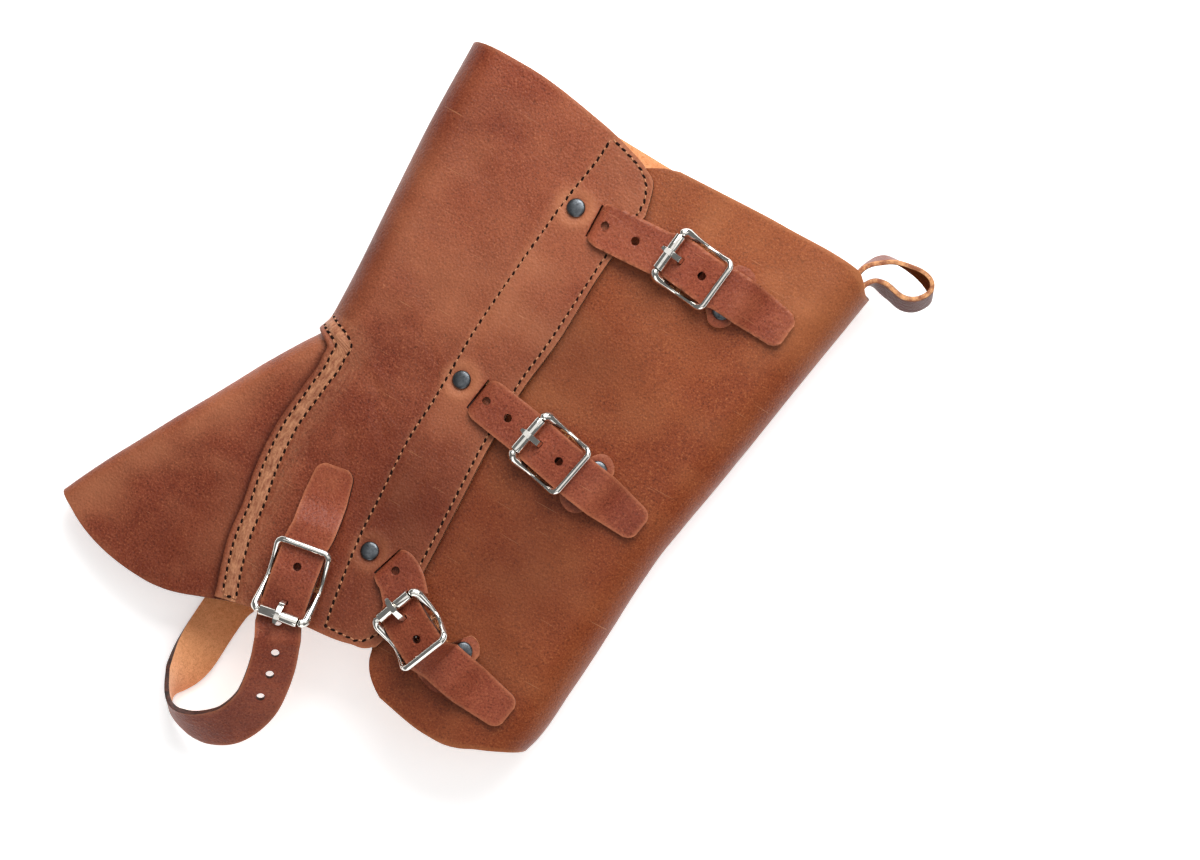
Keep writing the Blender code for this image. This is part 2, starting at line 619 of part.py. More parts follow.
def strap_profile(slot_a, tail, tip, reach):
    """Closure strap in its buckle's frame: hidden tail, slot, roller, centre bar, end bar, tip."""
    low = LAP - PANEL_T - FACING_T - 2 * GAP - STRAP_T / 2
    high = LAP + GAP + STRAP_T / 2
    turn = np.linspace(0, math.pi / 2, 6)
    a = [slot_a - tail, slot_a - 6.0]
    c = [low, low]
    a += list(slot_a - BEND_R + BEND_R * np.sin(turn))
    c += list(low + BEND_R - BEND_R * np.cos(turn))
    a += list(slot_a + BEND_R - BEND_R * np.cos(turn))
    c += list(high - BEND_R + BEND_R * np.sin(turn))
    over_bar = BAR_C + WIRE_R + GAP + CHAPE_T + GAP + STRAP_T / 2
    beyond = 5.1 + STRAP_T / 2
    course = {"a": (slot_a + 4.0, -reach - 3.0, -reach, -reach * 0.45, 0.0, reach * 0.5, reach, EAR_A,
                    EAR_A + 5.0, EAR_A + 13.0, tip),
              "c": (high, high, high, over_bar - 0.5, over_bar, over_bar - 0.9, beyond, beyond,
                    beyond - 0.1, 2.2, 1.7)}
    run = np.concatenate([np.linspace(slot_a + 4.5, -reach - 3.0, 4), np.linspace(-reach, EAR_A + 13.0, 22),
                          np.linspace(EAR_A + 17.0, tip - 6.0, 3), tip - np.array([3.0, 1.2, 0.3, 0.0])])
    a += list(run)
    c += list(curve(course, "c", run))
    return np.array(a), np.array(c)


def chape_profile(reach, length):
    """Folded tab: upper layer towards the centre bar, round it, lower layer back."""
    lower = GAP + CHAPE_T / 2
    upper = lower + CHAPE_T + GAP
    ring = WIRE_R + GAP + CHAPE_T / 2
    flat = length - np.array([0.0, 1.0, 2.5, 4.5, 6.3, 8.0, 10.0, 11.9, 12.6, 14.0, 17.0])
    a = list(flat)
    c = [upper] * len(flat)
    a.append(4.4)
    c.append(upper + 0.5)
    turn = np.radians(np.linspace(55.0, 270.0, 12))
    a += list(ring * np.cos(turn))
    c += list(BAR_C + ring * np.sin(turn))
    back = np.concatenate([[3.0, 6.0], flat[::-1]])
    a += list(back)
    c += [lower] * len(back)
    return np.array(a), np.array(c)


def ear_half(a, eared):
    """Half width of the tab: a neck that swells into two round ears at the rivets."""
    if not eared:
        return np.where(a > EAR_A + 5.0, NECK_HALF - 1.5, NECK_HALF)
    reach = np.clip(1 - ((a - EAR_A) / EAR_R) ** 2, 0.0, 1.0)
    return np.where(reach > 0.0, np.maximum(NECK_HALF, EAR_B - 2.0 + (EAR_R + 2.0) * np.sqrt(reach)), NECK_HALF)


def build_closure(number, row, hole_shapes, slot_shapes):
    tag = f"closure_{number}"
    reach = 12.2
    path = path_table(row["path"], CENTRE_POINT)
    place = Place(*row["path"][CENTRE_POINT], row["turn"], row["pitch"], row["roll"], LAP, path)
    slot_a = path["a"][1]
    tip = path["a"][len(row["path"]) - 1]
    rivet = np.array(row["rivet"])
    tail = math.dist(rivet, row["path"][1]) + 6.5
    a, c = strap_profile(slot_a, tail, tip, reach)
    to_tip = tip - a
    half = np.where(to_tip < 22.0, row["tip_half"] + (STRAP_HALF - row["tip_half"]) * to_tip / 22.0, STRAP_HALF)
    half = np.where(to_tip < 6.0, half * np.sqrt(np.clip(1 - ((6.0 - to_tip) / 6.4) ** 2, 0.05, 1)), half)
    half = np.where(a < slot_a + 4.0, STRAP_HALF - 0.3, half)
    layers, faces = strip_layers(a, c, half, STRAP_T, 2)
    strap = wall(f"{tag}_strap", place.blended(layers[0]), place.blended(layers[1]), faces, STRAP_LEATHER)
    build_buckle(tag, place, reach)
    a, c = chape_profile(reach, TAB_END)
    layers, faces = strip_layers(a, c, ear_half(a, True), CHAPE_T, 2)
    for layer in layers:
        layer[:, 1] += row["ear_shift"] * ease((layer[:, 0] - 13.0) / 5.0)
    chape = wall(f"{tag}_chape", place.blended(layers[0]), place.blended(layers[1]), faces, STRAP_LEATHER)
    cut(chape, prong_window(f"{tag}_window_tool", place))
    cut(strap, prong_cutter(f"{tag}_prong_tool", place, reach))
    middle = place.laid(np.array([[slot_a, 0.0, 0.0], [slot_a + 1.0, 0.0, 0.0]]))
    along = Vector(middle[1] - middle[0]).normalized()
    across = Vector((0, 0, 1)).cross(along).normalized()
    up = along.cross(across)
    slot_shapes.append(prism(middle[0], [along[:], across[:], up[:]], SLOT_HALF_A, SLOT_HALF_B, -3.0, 9.0))
    punched = []
    for hole in row["holes"]:
        spot = place.blended(np.array([[hole, 0.0, 0.0], [hole, 0.0, 20.0]]))
        punched.append(pin(spot[0], spot[1] - spot[0], 1.8, 3.0, 12.0))
    cut(strap, joined_tool(f"{tag}_hole_tool", punched))
    shift = row["ear_shift"]
    ears = place.blended(np.array([[EAR_A, shift + EAR_B, 0.0], [EAR_A, shift - EAR_B, 0.0]]))
    seat_c = GAP + 2 * CHAPE_T + GAP
    for side, ear in zip(("up", "down"), ears):
        up = face_normal(ear[0], ear[1])
        top = ear + np.array([0, 0, seat_c]) + SEAT_GAP * np.array(up[:])
        build_rivet(f"{tag}_chape_rivet_{side}", top, up, seat_c + PANEL_T + 2 * SEAT_GAP)
        hole_shapes.append(pin(ear, up, RIVET_SHANK + GAP, -4.5, seat_c + 0.6))
    spot = np.array([rivet[0], rivet[1], float(top_face(*rivet))])
    up = face_normal(*rivet)
    build_rivet(f"placket_rivet_{number}", spot + SEAT_GAP * np.array(up[:]), up,
                PANEL_T + FACING_T + STRAP_T + 2 * GAP + 2 * SEAT_GAP)
    hole_shapes.append(pin(spot, up, RIVET_SHANK + GAP, -9.0, 1.5))
    return strap, chape


def foot_route():
    """Middle line and width direction of the foot strap from its hidden end to its tip."""
    place = foot_place()
    reach = FOOT_BUCKLE["reach"]
    end = np.array(FOOT_END)
    slot = np.array(FOOT_SLOT)
    ahead = (slot - end) / np.linalg.norm(slot - end)
    inside = STRAP_LIFT + PANEL_T + GAP + STRAP_T / 2
    outside = STRAP_T / 2
    turn = np.linspace(0, math.pi / 2, 6)
    gone = np.linalg.norm(slot - end)
    run = np.concatenate([[0.0, gone / 2, gone - 6.0], gone - BEND_R + BEND_R * np.sin(turn),
                          gone + BEND_R - BEND_R * np.cos(turn)])
    drop = np.concatenate([[inside] * 3, inside - BEND_R + BEND_R * np.cos(turn),
                           outside + BEND_R - BEND_R * np.sin(turn)])
    start = np.column_stack([end[0] + ahead[0] * run, end[1] + ahead[1] * run, drop])
    rows = len(FOOT_LOOP["x"])
    knots = {"k": tuple(range(rows))}
    knots.update(FOOT_LOOP)
    k = np.linspace(0, rows - 1, 3 * rows - 2)
    loop = np.column_stack([curve(knots, key, k) for key in ("x", "y", "z")])
    roll = np.radians(curve(knots, "roll", k))
    over_bar = BAR_C + WIRE_R + GAP + CHAPE_T + GAP + STRAP_T / 2
    beyond = 5.25 + STRAP_T / 2
    high = 5.0 + STRAP_T / 2
    tip = float(np.linalg.norm(np.array(FOOT_TIP) - (FOOT_BUCKLE["x"], FOOT_BUCKLE["y"])))
    course = {"a": (-reach - 4.0, -reach, -reach * 0.45, 0.0, reach * 0.5, reach, EAR_A + 4.0, EAR_A + 14.0, tip),
              "c": (high, high, over_bar - 0.5, over_bar, over_bar - 0.8, beyond, beyond, 2.4, 1.7)}
    a = np.concatenate([np.linspace(-reach - 2.5, EAR_A + 14.0, 22), [tip - 9.0, tip - 5.0, tip - 2.4, tip - 0.8, tip]])
    upper = place.laid_foot(np.column_stack([a, 0 * a, curve(course, "c", a)]))
    centre = np.concatenate([start, loop, upper])
    flat = np.gradient(centre, axis=0)[:, :2]
    flat[:len(start)] = ahead
    flat /= np.linalg.norm(flat, axis=1)[:, None]
    angle = np.concatenate([np.zeros(len(start)), roll, np.full(len(upper), math.pi)])
    edge = np.column_stack([flat[:, 1] * np.cos(angle), -flat[:, 0] * np.cos(angle), np.sin(angle)])
    edge[-len(upper):] = place.across_foot(upper, a)
    half = np.full(len(centre), STRAP_HALF)
    half[:len(start) + 2] = STRAP_HALF - 0.3
    left = tip - a[-5:]
    half[-5:] = (STRAP_HALF - 1.5) * np.sqrt(np.clip(1 - ((7.0 - left) / 7.4) ** 2, 0.05, 1))
    half[-5] = STRAP_HALF - 0.4
    return centre, edge, half, place


class FootPlace(Place):
    """The foot buckle's frame on the lateral panel."""

    def laid_foot(self, points):
        plane = self.rigid(points * (1, 1, 0))
        rise = top_face(plane[:, 0], plane[:, 1]) + points[:, 2]
        share = ease((np.abs(points[:, 0]) - FOOT_BUCKLE["reach"] - 1.0) / 8.0)
        share = np.where(points[:, 0] < 0, 0.0, share)[:, None]
        laid = np.column_stack([plane[:, :2], rise])
        return self.rigid(points) * (1 - share) + laid * share

    def across_foot(self, points, a):
        """Width direction of the strap: the buckle's own, then the slope of the leather."""
        side = self.axes[1][:2] / np.linalg.norm(self.axes[1][:2])
        left = points[:, :2] + STRAP_HALF * side
        right = points[:, :2] - STRAP_HALF * side
        slope = (top_face(left[:, 0], left[:, 1]) - top_face(right[:, 0], right[:, 1])) / (2 * STRAP_HALF)
        share = ease((a - FOOT_BUCKLE["reach"] - 1.0) / 8.0)[:, None]
        laid = np.column_stack([np.tile(side, (len(a), 1)), slope])
        return self.axes[1] * (1 - share) + laid * share


def foot_place():
    return FootPlace(FOOT_BUCKLE["x"], FOOT_BUCKLE["y"], FOOT_BUCKLE["turn"], 0.0, 0.0, 0.0)


def build_foot_strap(hole_shapes, slot_shapes):
    centre, edge, half, place = foot_route()
    reach = FOOT_BUCKLE["reach"]
    strap = strip_in_space("foot_strap", centre, edge, half, STRAP_T, 3, STRAP_LEATHER)
    build_buckle("foot", place, reach)
    a, c = chape_profile(reach, EAR_A + 7.0)
    layers, faces = strip_layers(a, c, ear_half(a, False), CHAPE_T, 2)
    chape = wall("foot_chape", place.rigid(layers[0]), place.rigid(layers[1]), faces, STRAP_LEATHER)
    cut(chape, prong_window("foot_window_tool", place))
    cut(strap, prong_cutter("foot_prong_tool", place, reach))
    spot = place.rigid(np.array([[EAR_A + 1.5, 0.0, 0.0]]))[0]
    up = place.axes[2]
    seat_c = 2 * GAP + 2 * CHAPE_T
    build_rivet("foot_chape_rivet", spot + up * (seat_c + SEAT_GAP), up, seat_c + PANEL_T + 3 * SEAT_GAP)
    hole_shapes.append(pin(spot, up, RIVET_SHANK + GAP, -4.5, seat_c + 0.6))
    for number, (x, y) in enumerate(FOOT_RIVETS, 1):
        base = np.array([x, y, STRAP_LIFT - 0.3])
        build_rivet(f"foot_rivet_{number}", base, (0, 0, -1), PANEL_T + STRAP_T + 2 * GAP + 0.4)
        hole_shapes.append(pin(base, (0, 0, 1), RIVET_SHANK + GAP, -1.0, 6.4))
    ahead = Vector((FOOT_SLOT[0] - FOOT_END[0], FOOT_SLOT[1] - FOOT_END[1], 0.0)).normalized()
    across = Vector((0, 0, 1)).cross(ahead)
    slot_shapes.append(prism((*FOOT_SLOT, STRAP_LIFT), [ahead[:], across[:], (0, 0, 1)],
                             SLOT_HALF_A, SLOT_HALF_B, -1.5, 4.0))
    return strap, chape


def build_pull_loop():
    points = np.array(PULL_LOOP)
    knots = {"k": tuple(range(len(points))), "x": tuple(points[:, 0]), "y": tuple(points[:, 1])}
    k = np.linspace(0, len(points) - 1, 2 * len(points) - 1)
    centre = np.column_stack([curve(knots, "x", k), curve(knots, "y", k), np.full(len(k), LOOP_Z)])
    edge = np.tile((0.0, 0.0, 1.0), (len(k), 1))
    strip_in_space("pull_loop", centre, edge, np.full(len(k), LOOP_HALF), LOOP_T, 2, STRAP_LEATHER)


def build_spat():
    hole_shapes = []
    slot_shapes = []
    main = build_main_panel()
    vamp_v = np.array([0, 0.12, 0.24, 0.36, 0.48, 0.6, 0.7, 0.78, 0.84, 0.89, 0.93, 0.965, 1.0])
    build_sheet("vamp", vamp_grid, np.linspace(-1, 1, 21), vamp_v, UNDER + 0.2, PANEL_T, PANEL_LEATHER)
    facing = build_sheet("placket_facing", lateral_grid, np.array([0.68, 0.76, 0.84, 0.91, 0.96, 0.985, 1.0]),
                         np.linspace(0, 1, 16), UNDER, FACING_T, PANEL_LEATHER)
    pierced = [main, facing]
    for number, row in enumerate(CLOSURES, 1):
        pierced += build_closure(number, row, hole_shapes, slot_shapes)
    pierced += build_foot_strap(hole_shapes, slot_shapes)
    build_pull_loop()
    slots = joined_tool("slot_tool", slot_shapes)
    holes = joined_tool("rivet_hole_tool", hole_shapes)
    cut(main, slots)
    cut(facing, slots)
    for obj in pierced:
        cut(obj, holes)


build_spat()
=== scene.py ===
import math

import bmesh
import bpy
import numpy as np
from mathutils import Matrix, Vector


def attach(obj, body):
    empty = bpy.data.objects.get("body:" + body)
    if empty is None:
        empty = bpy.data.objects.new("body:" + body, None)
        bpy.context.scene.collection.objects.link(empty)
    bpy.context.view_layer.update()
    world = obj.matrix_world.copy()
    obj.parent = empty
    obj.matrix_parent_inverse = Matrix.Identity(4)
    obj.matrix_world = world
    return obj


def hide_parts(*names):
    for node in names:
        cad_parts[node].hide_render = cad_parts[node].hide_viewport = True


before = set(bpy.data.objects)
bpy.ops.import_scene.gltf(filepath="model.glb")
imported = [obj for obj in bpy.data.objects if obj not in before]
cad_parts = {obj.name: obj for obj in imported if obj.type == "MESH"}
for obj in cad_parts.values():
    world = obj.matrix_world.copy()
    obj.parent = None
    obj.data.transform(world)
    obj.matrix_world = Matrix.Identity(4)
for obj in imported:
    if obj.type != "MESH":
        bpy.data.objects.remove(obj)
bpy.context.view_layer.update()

mm = 0.001
noiseSource = np.random.default_rng(11)
print("stage: frame loaded,", len(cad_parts), "nodes")


# Helpers

def hexToLinear(text):
    # sRGB hex to linear: c/12.92 below 0.04045, else ((c + 0.055)/1.055)^2.4.
    parts = [int(text[i:i + 2], 16) / 255 for i in (0, 2, 4)]
    return (*[c / 12.92 if c <= 0.04045 else ((c + 0.055) / 1.055) ** 2.4 for c in parts], 1.0)


def addNode(tree, kind, inputs=None, out=0, **settings):
    # Adds a node, sets its properties, sets or links its inputs, and returns the output asked for.
    node = tree.nodes.new("ShaderNode" + kind)
    for key, value in settings.items():
        setattr(node, key, value)
    for key, value in (inputs or {}).items():
        if isinstance(value, bpy.types.NodeSocket):
            tree.links.new(value, node.inputs[key])
        else:
            node.inputs[key].default_value = value
    return node.outputs[out] if len(node.outputs) else node


def ease(s):
    # 3s^2 - 2s^3 between 0 and 1.
    s = np.clip(s, 0.0, 1.0)
    return s * s * (3 - 2 * s)


def bell(distance, half):
    # exp(-(distance/half)^2).
    return np.exp(-(distance / half) ** 2)


def unit(vectors):
    # Each row divided by its length.
    return vectors / np.linalg.norm(vectors, axis=1)[:, None]


def lengthAlong(points):
    # Distance from the first point to each one, along the line.
    return np.concatenate([[0.0], np.cumsum(np.linalg.norm(np.diff(points, axis=0), axis=1))])


def wheel(sides):
    # Angles evenly round a circle.
    return np.arange(sides) * 2 * math.pi / sides


def curve(table, key, at):
    # Cubic Hermite through a table's rows, slopes from the neighbours, level at a turning point.
    xs = np.array(table[next(iter(table))], float)
    ys = np.array(table[key], float)
    at = np.clip(np.asarray(at, float), xs[0], xs[-1])
    slope = np.gradient(ys, xs)
    step = np.diff(xs)
    rise = np.diff(ys) / step
    flat = np.concatenate(([False], rise[:-1] * rise[1:] <= 0.0, [False]))
    slope = np.where(flat, 0.0, slope)
    i = np.clip(np.searchsorted(xs, at, side="right") - 1, 0, len(xs) - 2)
    h = step[i]
    s = (at - xs[i]) / h
    return ((1 + 2 * s) * (1 - s) ** 2 * ys[i] + s * (1 - s) ** 2 * h * slope[i]
            + s * s * (3 - 2 * s) * ys[i + 1] + s * s * (s - 1) * h * slope[i + 1])


def softNoise(x, y, size, seed):
    # Smooth value noise: eased bilinear mix of random numbers on a grid of the given size.
    values = np.random.default_rng(seed).uniform(-1, 1, (64, 64))
    gx = np.asarray(x) / size + 200.0
    gy = np.asarray(y) / size + 200.0
    ix = np.floor(gx).astype(int)
    iy = np.floor(gy).astype(int)
    fx = ease(gx - ix)
    fy = ease(gy - iy)
    near = values[ix % 64, iy % 64] * (1 - fx) + values[(ix + 1) % 64, iy % 64] * fx
    far = values[ix % 64, (iy + 1) % 64] * (1 - fx) + values[(ix + 1) % 64, (iy + 1) % 64] * fx
    return near * (1 - fy) + far * fy


def clouds(x, y, *rows):
    # Sum of strength times noise; each row is a strength, a size and a seed.
    total = 0.0
    for strength, size, seed in rows:
        total = total + strength * softNoise(x, y, size, seed)
    return total


# The flattened tube, as the leather lies. Sizes in millimetres.

leather = {"panel": 2.4, "facing": 1.5, "strap": 2.2, "chape": 1.4, "gap": 0.3, "loop": 2.2}
tube = {"crown": 4.0, "backRadius": 17.0, "pocket": 2.9, "lapFrom": -6.0, "lapTo": 1.0,
        "lift": 2.7, "liftFromY": -38.0, "liftOverY": 18.0, "liftFromX": -14.0, "liftOverX": 14.0,
        "liftMost": 1.2}
tube["lap"] = leather["facing"] + 2 * leather["gap"] + leather["panel"]
under = leather["panel"] + leather["gap"]

# The lying tube at each y up the leg: x of the shin fold and of the calf fold, the shin fold's radius.
levels = {
    "y": (-130.0, -114.0, -107.0, -80.0, -51.5, -24.0, -9.0, 0.0, 7.0, 23.0, 61.0, 98.0, 136.0),
    "front": (-158.0, -149.5, -146.3, -132.0, -116.7, -101.6, -92.5, -86.8, -84.8, -85.2, -87.6, -89.8,
              -90.6),
    "back": (74.0, 75.5, 77.5, 80.1, 81.7, 83.0, 84.5, 86.0, 87.2, 90.0, 96.0, 102.0, 108.0),
    "radius": (7.6, 8.0, 8.4, 9.6, 10.8, 12.0, 12.6, 13.0, 13.2, 13.5, 13.8, 14.0, 14.0),
}
# Arch cut over the vamp: its distance from the shin fold, round the leather, at each y.
arch = {
    "y": (-130.0, -120.0, -108.0, -94.0, -80.0, -65.0, -47.0, -25.0, -11.0, -4.0, 0.0),
    "arc": (97.0, 88.0, 78.6, 68.0, 59.0, 48.5, 37.8, 28.0, 20.6, 13.7, 0.0),
}
# Free edges: x at each y for the two upright ones, y at each share u of the width for the others.
placketEdge = {"y": (-130.0, -97.0, -65.0, -36.0, -7.0, 18.0, 42.0, 84.0, 108.0, 140.0),
               "x": (2.5, 2.5, 2.2, 1.0, -0.2, -0.1, 2.6, 4.5, 8.2, 12.0)}
underlapEdge = {"y": (-126.0, -122.3, -117.3, -111.0, -106.0, -95.0, -80.0, 100.0, 116.0, 123.0, 127.5,
                      130.5, 133.0),
                "x": (20.0, 12.5, 5.5, 1.0, -0.2, -7.0, -13.0, -13.0, -8.5, -4.0, 1.5, 8.0, 18.0)}
lateralHem = {"u": (0.0, 0.18, 0.51, 0.84, 0.95, 0.985, 1.0),
              "y": (-120.5, -117.6, -112.6, -108.9, -105.9, -102.5, -97.0)}
lateralTop = {"u": (0.0, 0.10, 0.29, 0.59, 0.73, 0.80, 0.89, 0.955, 1.0),
              "y": (135.9, 137.5, 138.1, 134.2, 131.1, 128.9, 125.3, 120.0, 108.0)}
medialHem = {"u": (0.0, 0.165, 0.30, 0.48, 0.67, 0.78, 0.84, 0.90, 0.95, 1.0),
             "y": (-120.5, -110.0, -106.5, -110.0, -112.5, -120.3, -124.2, -126.1, -125.6, -122.3)}
medialTop = {"u": (0.0, 0.10, 0.30, 0.50, 0.62, 0.66, 0.715, 0.745, 0.865, 1.0),
             "y": (135.9, 134.0, 132.5, 130.5, 127.0, 125.0, 130.5, 132.7, 133.5, 131.5)}
vampHem = {"u": (0.0, 0.13, 0.22, 0.325, 0.446, 0.585, 0.667, 0.817, 0.89, 1.0),
           "y": (-113.8, -118.1, -122.4, -126.3, -129.0, -129.9, -128.9, -123.8, -121.0, -117.5)}
vampCut = {"throatY": 8.0, "tuck": 12.0, "smoothBelow": 8}


def level(key, y):
    # One column of the lying tube's table at height y.
    return curve(levels, key, y)


def upperLine(x, y):
    # Middle line of the upper wall: low + (high - low) ease(w) + crown sin^2(pi w); and its slope in x.
    start = level("front", y) + level("radius", y)
    width = level("back", y) - tube["backRadius"] - start
    w = np.clip((x - start) / width, 0.0, 1.0)
    low = leather["panel"] / 2 + 2 * level("radius", y)
    high = leather["panel"] / 2 + 2 * tube["backRadius"] + tube["lap"]
    z = low + (high - low) * ease(w) + tube["crown"] * np.sin(math.pi * w) ** 2
    slope = ((high - low) * 6 * w * (1 - w) + tube["crown"] * math.pi * np.sin(2 * math.pi * w)) / width
    return z, slope


def topFace(x, y):
    # Height of the upper wall's outer face: its middle line plus half the leather.
    return upperLine(x, y)[0] + leather["panel"] / 2


def lapDrop(x):
    # How far the underlap lies below the lateral wall: lap + pocket, eased in between two x.
    return tube["lap"] + tube["pocket"] * ease((tube["lapTo"] - x) / (tube["lapTo"] - tube["lapFrom"]))


def tubePoint(s, y, inward):
    # Point at distance s round the tube from the shin fold (+ lateral, - medial and round the back),
    # moved inward along the section's normal: straight top, half circle, straight bottom, half circle.
    # Near the vamp the lower wall is lifted off the floor, by lift (1 - height/roof).
    s = np.asarray(s, float)
    y = np.asarray(y, float)
    radius = level("radius", y)
    front = level("front", y) + radius
    back = level("back", y) - tube["backRadius"]
    quarter = math.pi / 2 * radius
    width = back - front
    turn = math.pi - s / radius
    roundBack = -s - quarter - width
    backTurn = roundBack / tube["backRadius"] - math.pi / 2
    over = roundBack - math.pi * tube["backRadius"]
    lateralX = front + s - quarter
    lapX = back - over
    top, topSlope = upperLine(lateralX, y)
    lapTop, lapSlope = upperLine(lapX, y)
    dip = 0.01
    lapSlope = lapSlope - (lapDrop(lapX + dip) - lapDrop(lapX - dip)) / (2 * dip)
    zone = [s >= quarter, s >= -quarter, roundBack <= 0.0, over <= 0.0]
    mid = leather["panel"] / 2
    x = np.select(zone, [lateralX, front + radius * np.cos(turn), front - s - quarter,
                         back + tube["backRadius"] * np.cos(backTurn)], lapX)
    z = np.select(zone, [top, mid + radius + radius * np.sin(turn), mid + 0 * s,
                         mid + tube["backRadius"] * (1 + np.sin(backTurn))], lapTop - lapDrop(lapX))
    nx = np.select(zone, [-topSlope, np.cos(turn), 0 * s, np.cos(backTurn)], -lapSlope)
    nz = np.select(zone, [1 + 0 * s, np.sin(turn), -1 + 0 * s, np.sin(backTurn)], 1 + 0 * s)
    size = np.hypot(nx, nz)
    x = x - inward * nx / size
    z = z - inward * nz / size
    roof = upperLine(x, y)[0] - mid
    lift = (tube["lift"] * ease((tube["liftFromY"] - y) / tube["liftOverY"])
            * ease((tube["liftFromX"] - x) / tube["liftOverX"]))
    z = z + lift * np.clip(1 - (z - mid) / roof, 0.0, tube["liftMost"])
    return np.stack([x, y, z], axis=-1)


def sAtX(x, y):
    # Distance from the shin fold to a point of the lateral side with this x.
    radius = level("radius", y)
    return x - level("front", y) - radius + math.pi / 2 * radius


def archArc(y):
    # Distance from the shin fold to the arch at height y, nothing above its top at y = 0.
    return np.where(np.asarray(y) >= 0.0, 0.0, curve(arch, "arc", np.minimum(y, 0.0)))


def lateralGrid(u, v):
    # y runs from hem to top by v; s runs from the vamp seam to the placket edge by u.
    hem = curve(lateralHem, "y", u)
    y = hem + v * (curve(lateralTop, "y", u) - hem)
    seam = archArc(y)
    return seam + u * (sAtX(curve(placketEdge, "x", y), y) - seam), y


def medialGrid(u, v):
    # y from hem to top by v; s from the seam under and round the calf to the underlap's edge by u.
    hem = curve(medialHem, "y", u)
    y = hem + v * (curve(medialTop, "y", u) - hem)
    radius = level("radius", y)
    back = level("back", y) - tube["backRadius"]
    width = back - level("front", y) - radius
    end = -(math.pi / 2 * radius + width + math.pi * tube["backRadius"] + back - curve(underlapEdge, "x", y))
    seam = -archArc(y)
    return seam + u * (end - seam), y


def vampGrid(u, v):
    # y from hem to throat by v; s across the ridge by u, tucked under the main panel on both sides.
    hem = curve(vampHem, "y", np.abs(u))
    y = hem + v * (vampCut["throatY"] - hem)
    return u * (archArc(y) + vampCut["tuck"]), y


# Relief of the leather, as soft troughs and ridges. Each row is one crease: both ends in plan,
# depth (+ stands up) and half width, all in millimetres.

creases = {
    "lateral": (
        (-60, -6, -38, -20, -0.35, 2.2), (-56, -14, -36, -30, -0.30, 1.8), (-66, 2, -50, -10, 0.25, 2.4),
        (-52, 22, -34, 8, -0.30, 1.6), (-62, -28, -46, -44, -0.28, 2.0), (-76, 30, -52, 24, 0.35, 5.0),
        (-70, 60, -40, 40, 0.30, 7.0), (-80, 100, -50, 88, -0.30, 6.0), (-34, 118, -26, 60, 0.22, 2.4),
        (-44, -60, -30, -84, -0.22, 2.0), (-70, -66, -58, -52, 0.20, 2.2), (-30, 44, -24, 20, -0.25, 1.5),
    ),
    "placket": (
        (-26, 84, -28, 34, 0.22, 1.5), (-20, 60, -23, 26, -0.22, 1.2), (-12, 74, -14, 22, -0.18, 1.6),
        (-24, -10, -25, -58, 0.20, 1.4), (-16, -14, -18, -48, -0.22, 1.2), (-9, 60, -10, 30, 0.16, 1.2),
        (-22, -78, -17, -100, -0.18, 1.3), (-10, -86, -12, -98, 0.15, 1.2), (-27, 30, -27, 12, -0.2, 1.0),
    ),
    "calf": (
        (20, 60, 70, 40, 0.55, 16.0), (20, -20, 64, -40, -0.50, 14.0), (34, -64, 74, -78, 0.30, 6.0),
        (8, 60, 12, 30, -0.3, 3.0), (64, 20, 82, 8, -0.30, 4.0), (14, -60, 18, -40, 0.25, 3.0),
        (60, 112, 88, 96, 0.4, 7.0),
    ),
    "vamp": (
        (-92, -14, -110, -70, 0.30, 3.0), (-88, -22, -100, -60, -0.28, 2.4),
        (-96, -50, -118, -96, -0.25, 3.0), (-86, -44, -96, -84, 0.22, 2.6),
        (-106, -60, -124, -100, 0.25, 3.4), (-90, -80, -104, -112, -0.3, 4.0),
    ),
}
wander = {"size": 0.4, "turns": 4.4, "fade": 0.25}


def creaseRelief(x, y, rows):
    # Sum over the rows of depth exp(-(across/half)^2), faded over a quarter of the length at both ends,
    # along a line that wanders by a sine.
    total = np.zeros(np.broadcast(x, y).shape)
    for ax, ay, bx, by, depth, half in rows:
        length = math.hypot(bx - ax, by - ay)
        along = ((x - ax) * (bx - ax) + (y - ay) * (by - ay)) / length
        wave = wander["size"] * half * np.sin(along / length * wander["turns"] + ax)
        across = ((x - ax) * (by - ay) - (y - ay) * (bx - ax)) / length + wave
        fadeOver = wander["fade"] * length
        fade = ease(along / fadeOver) * ease((length - along) / fadeOver)
        total += depth * bell(across, half) * fade
    return total


def groove(distance, depth, half):
    # -depth exp(-(distance/half)^2).
    return -depth * bell(distance, half)


# Stitch rows. Seam rows are distances inside the arch edge; placket rows are plan points.

stitching = {"pitch": 3.5, "fromY": -118.6,
             "thread": {"half": 0.85, "width": 0.42, "height": 0.36, "lift": 0.12, "slant": -9.0},
             "hole": {"half": 1.25, "width": 0.6, "height": 0.26, "lift": 0.06, "slant": 12.0}}
seamRows = (3.0, 9.2)
rowA = ((-20.2, 129.3), (-21.0, 118.2), (-22.5, 108.0), (-24.6, 93.9), (-27.6, 60.0), (-30.0, 25.0),
        (-30.0, 0.0), (-31.0, -22.0), (-29.4, -49.5), (-28.4, -67.0), (-24.8, -93.0), (-22.0, -107.6))
rowB = ((-20.2, 129.3), (-10.6, 126.6), (-3.4, 123.8), (2.4, 118.4), (5.0, 108.4), (2.0, 82.5),
        (-0.2, 43.6), (-2.6, 20.0), (-2.9, -6.6), (-1.8, -32.1), (-0.6, -61.1), (-0.4, -92.4),
        (-2.2, -100.5), (-6.6, -105.6), (-13.6, -107.0), (-22.0, -107.6))
placketRivets = ((-18.8, 96.5), (-24.3, 10.2), (-21.7, -71.1))


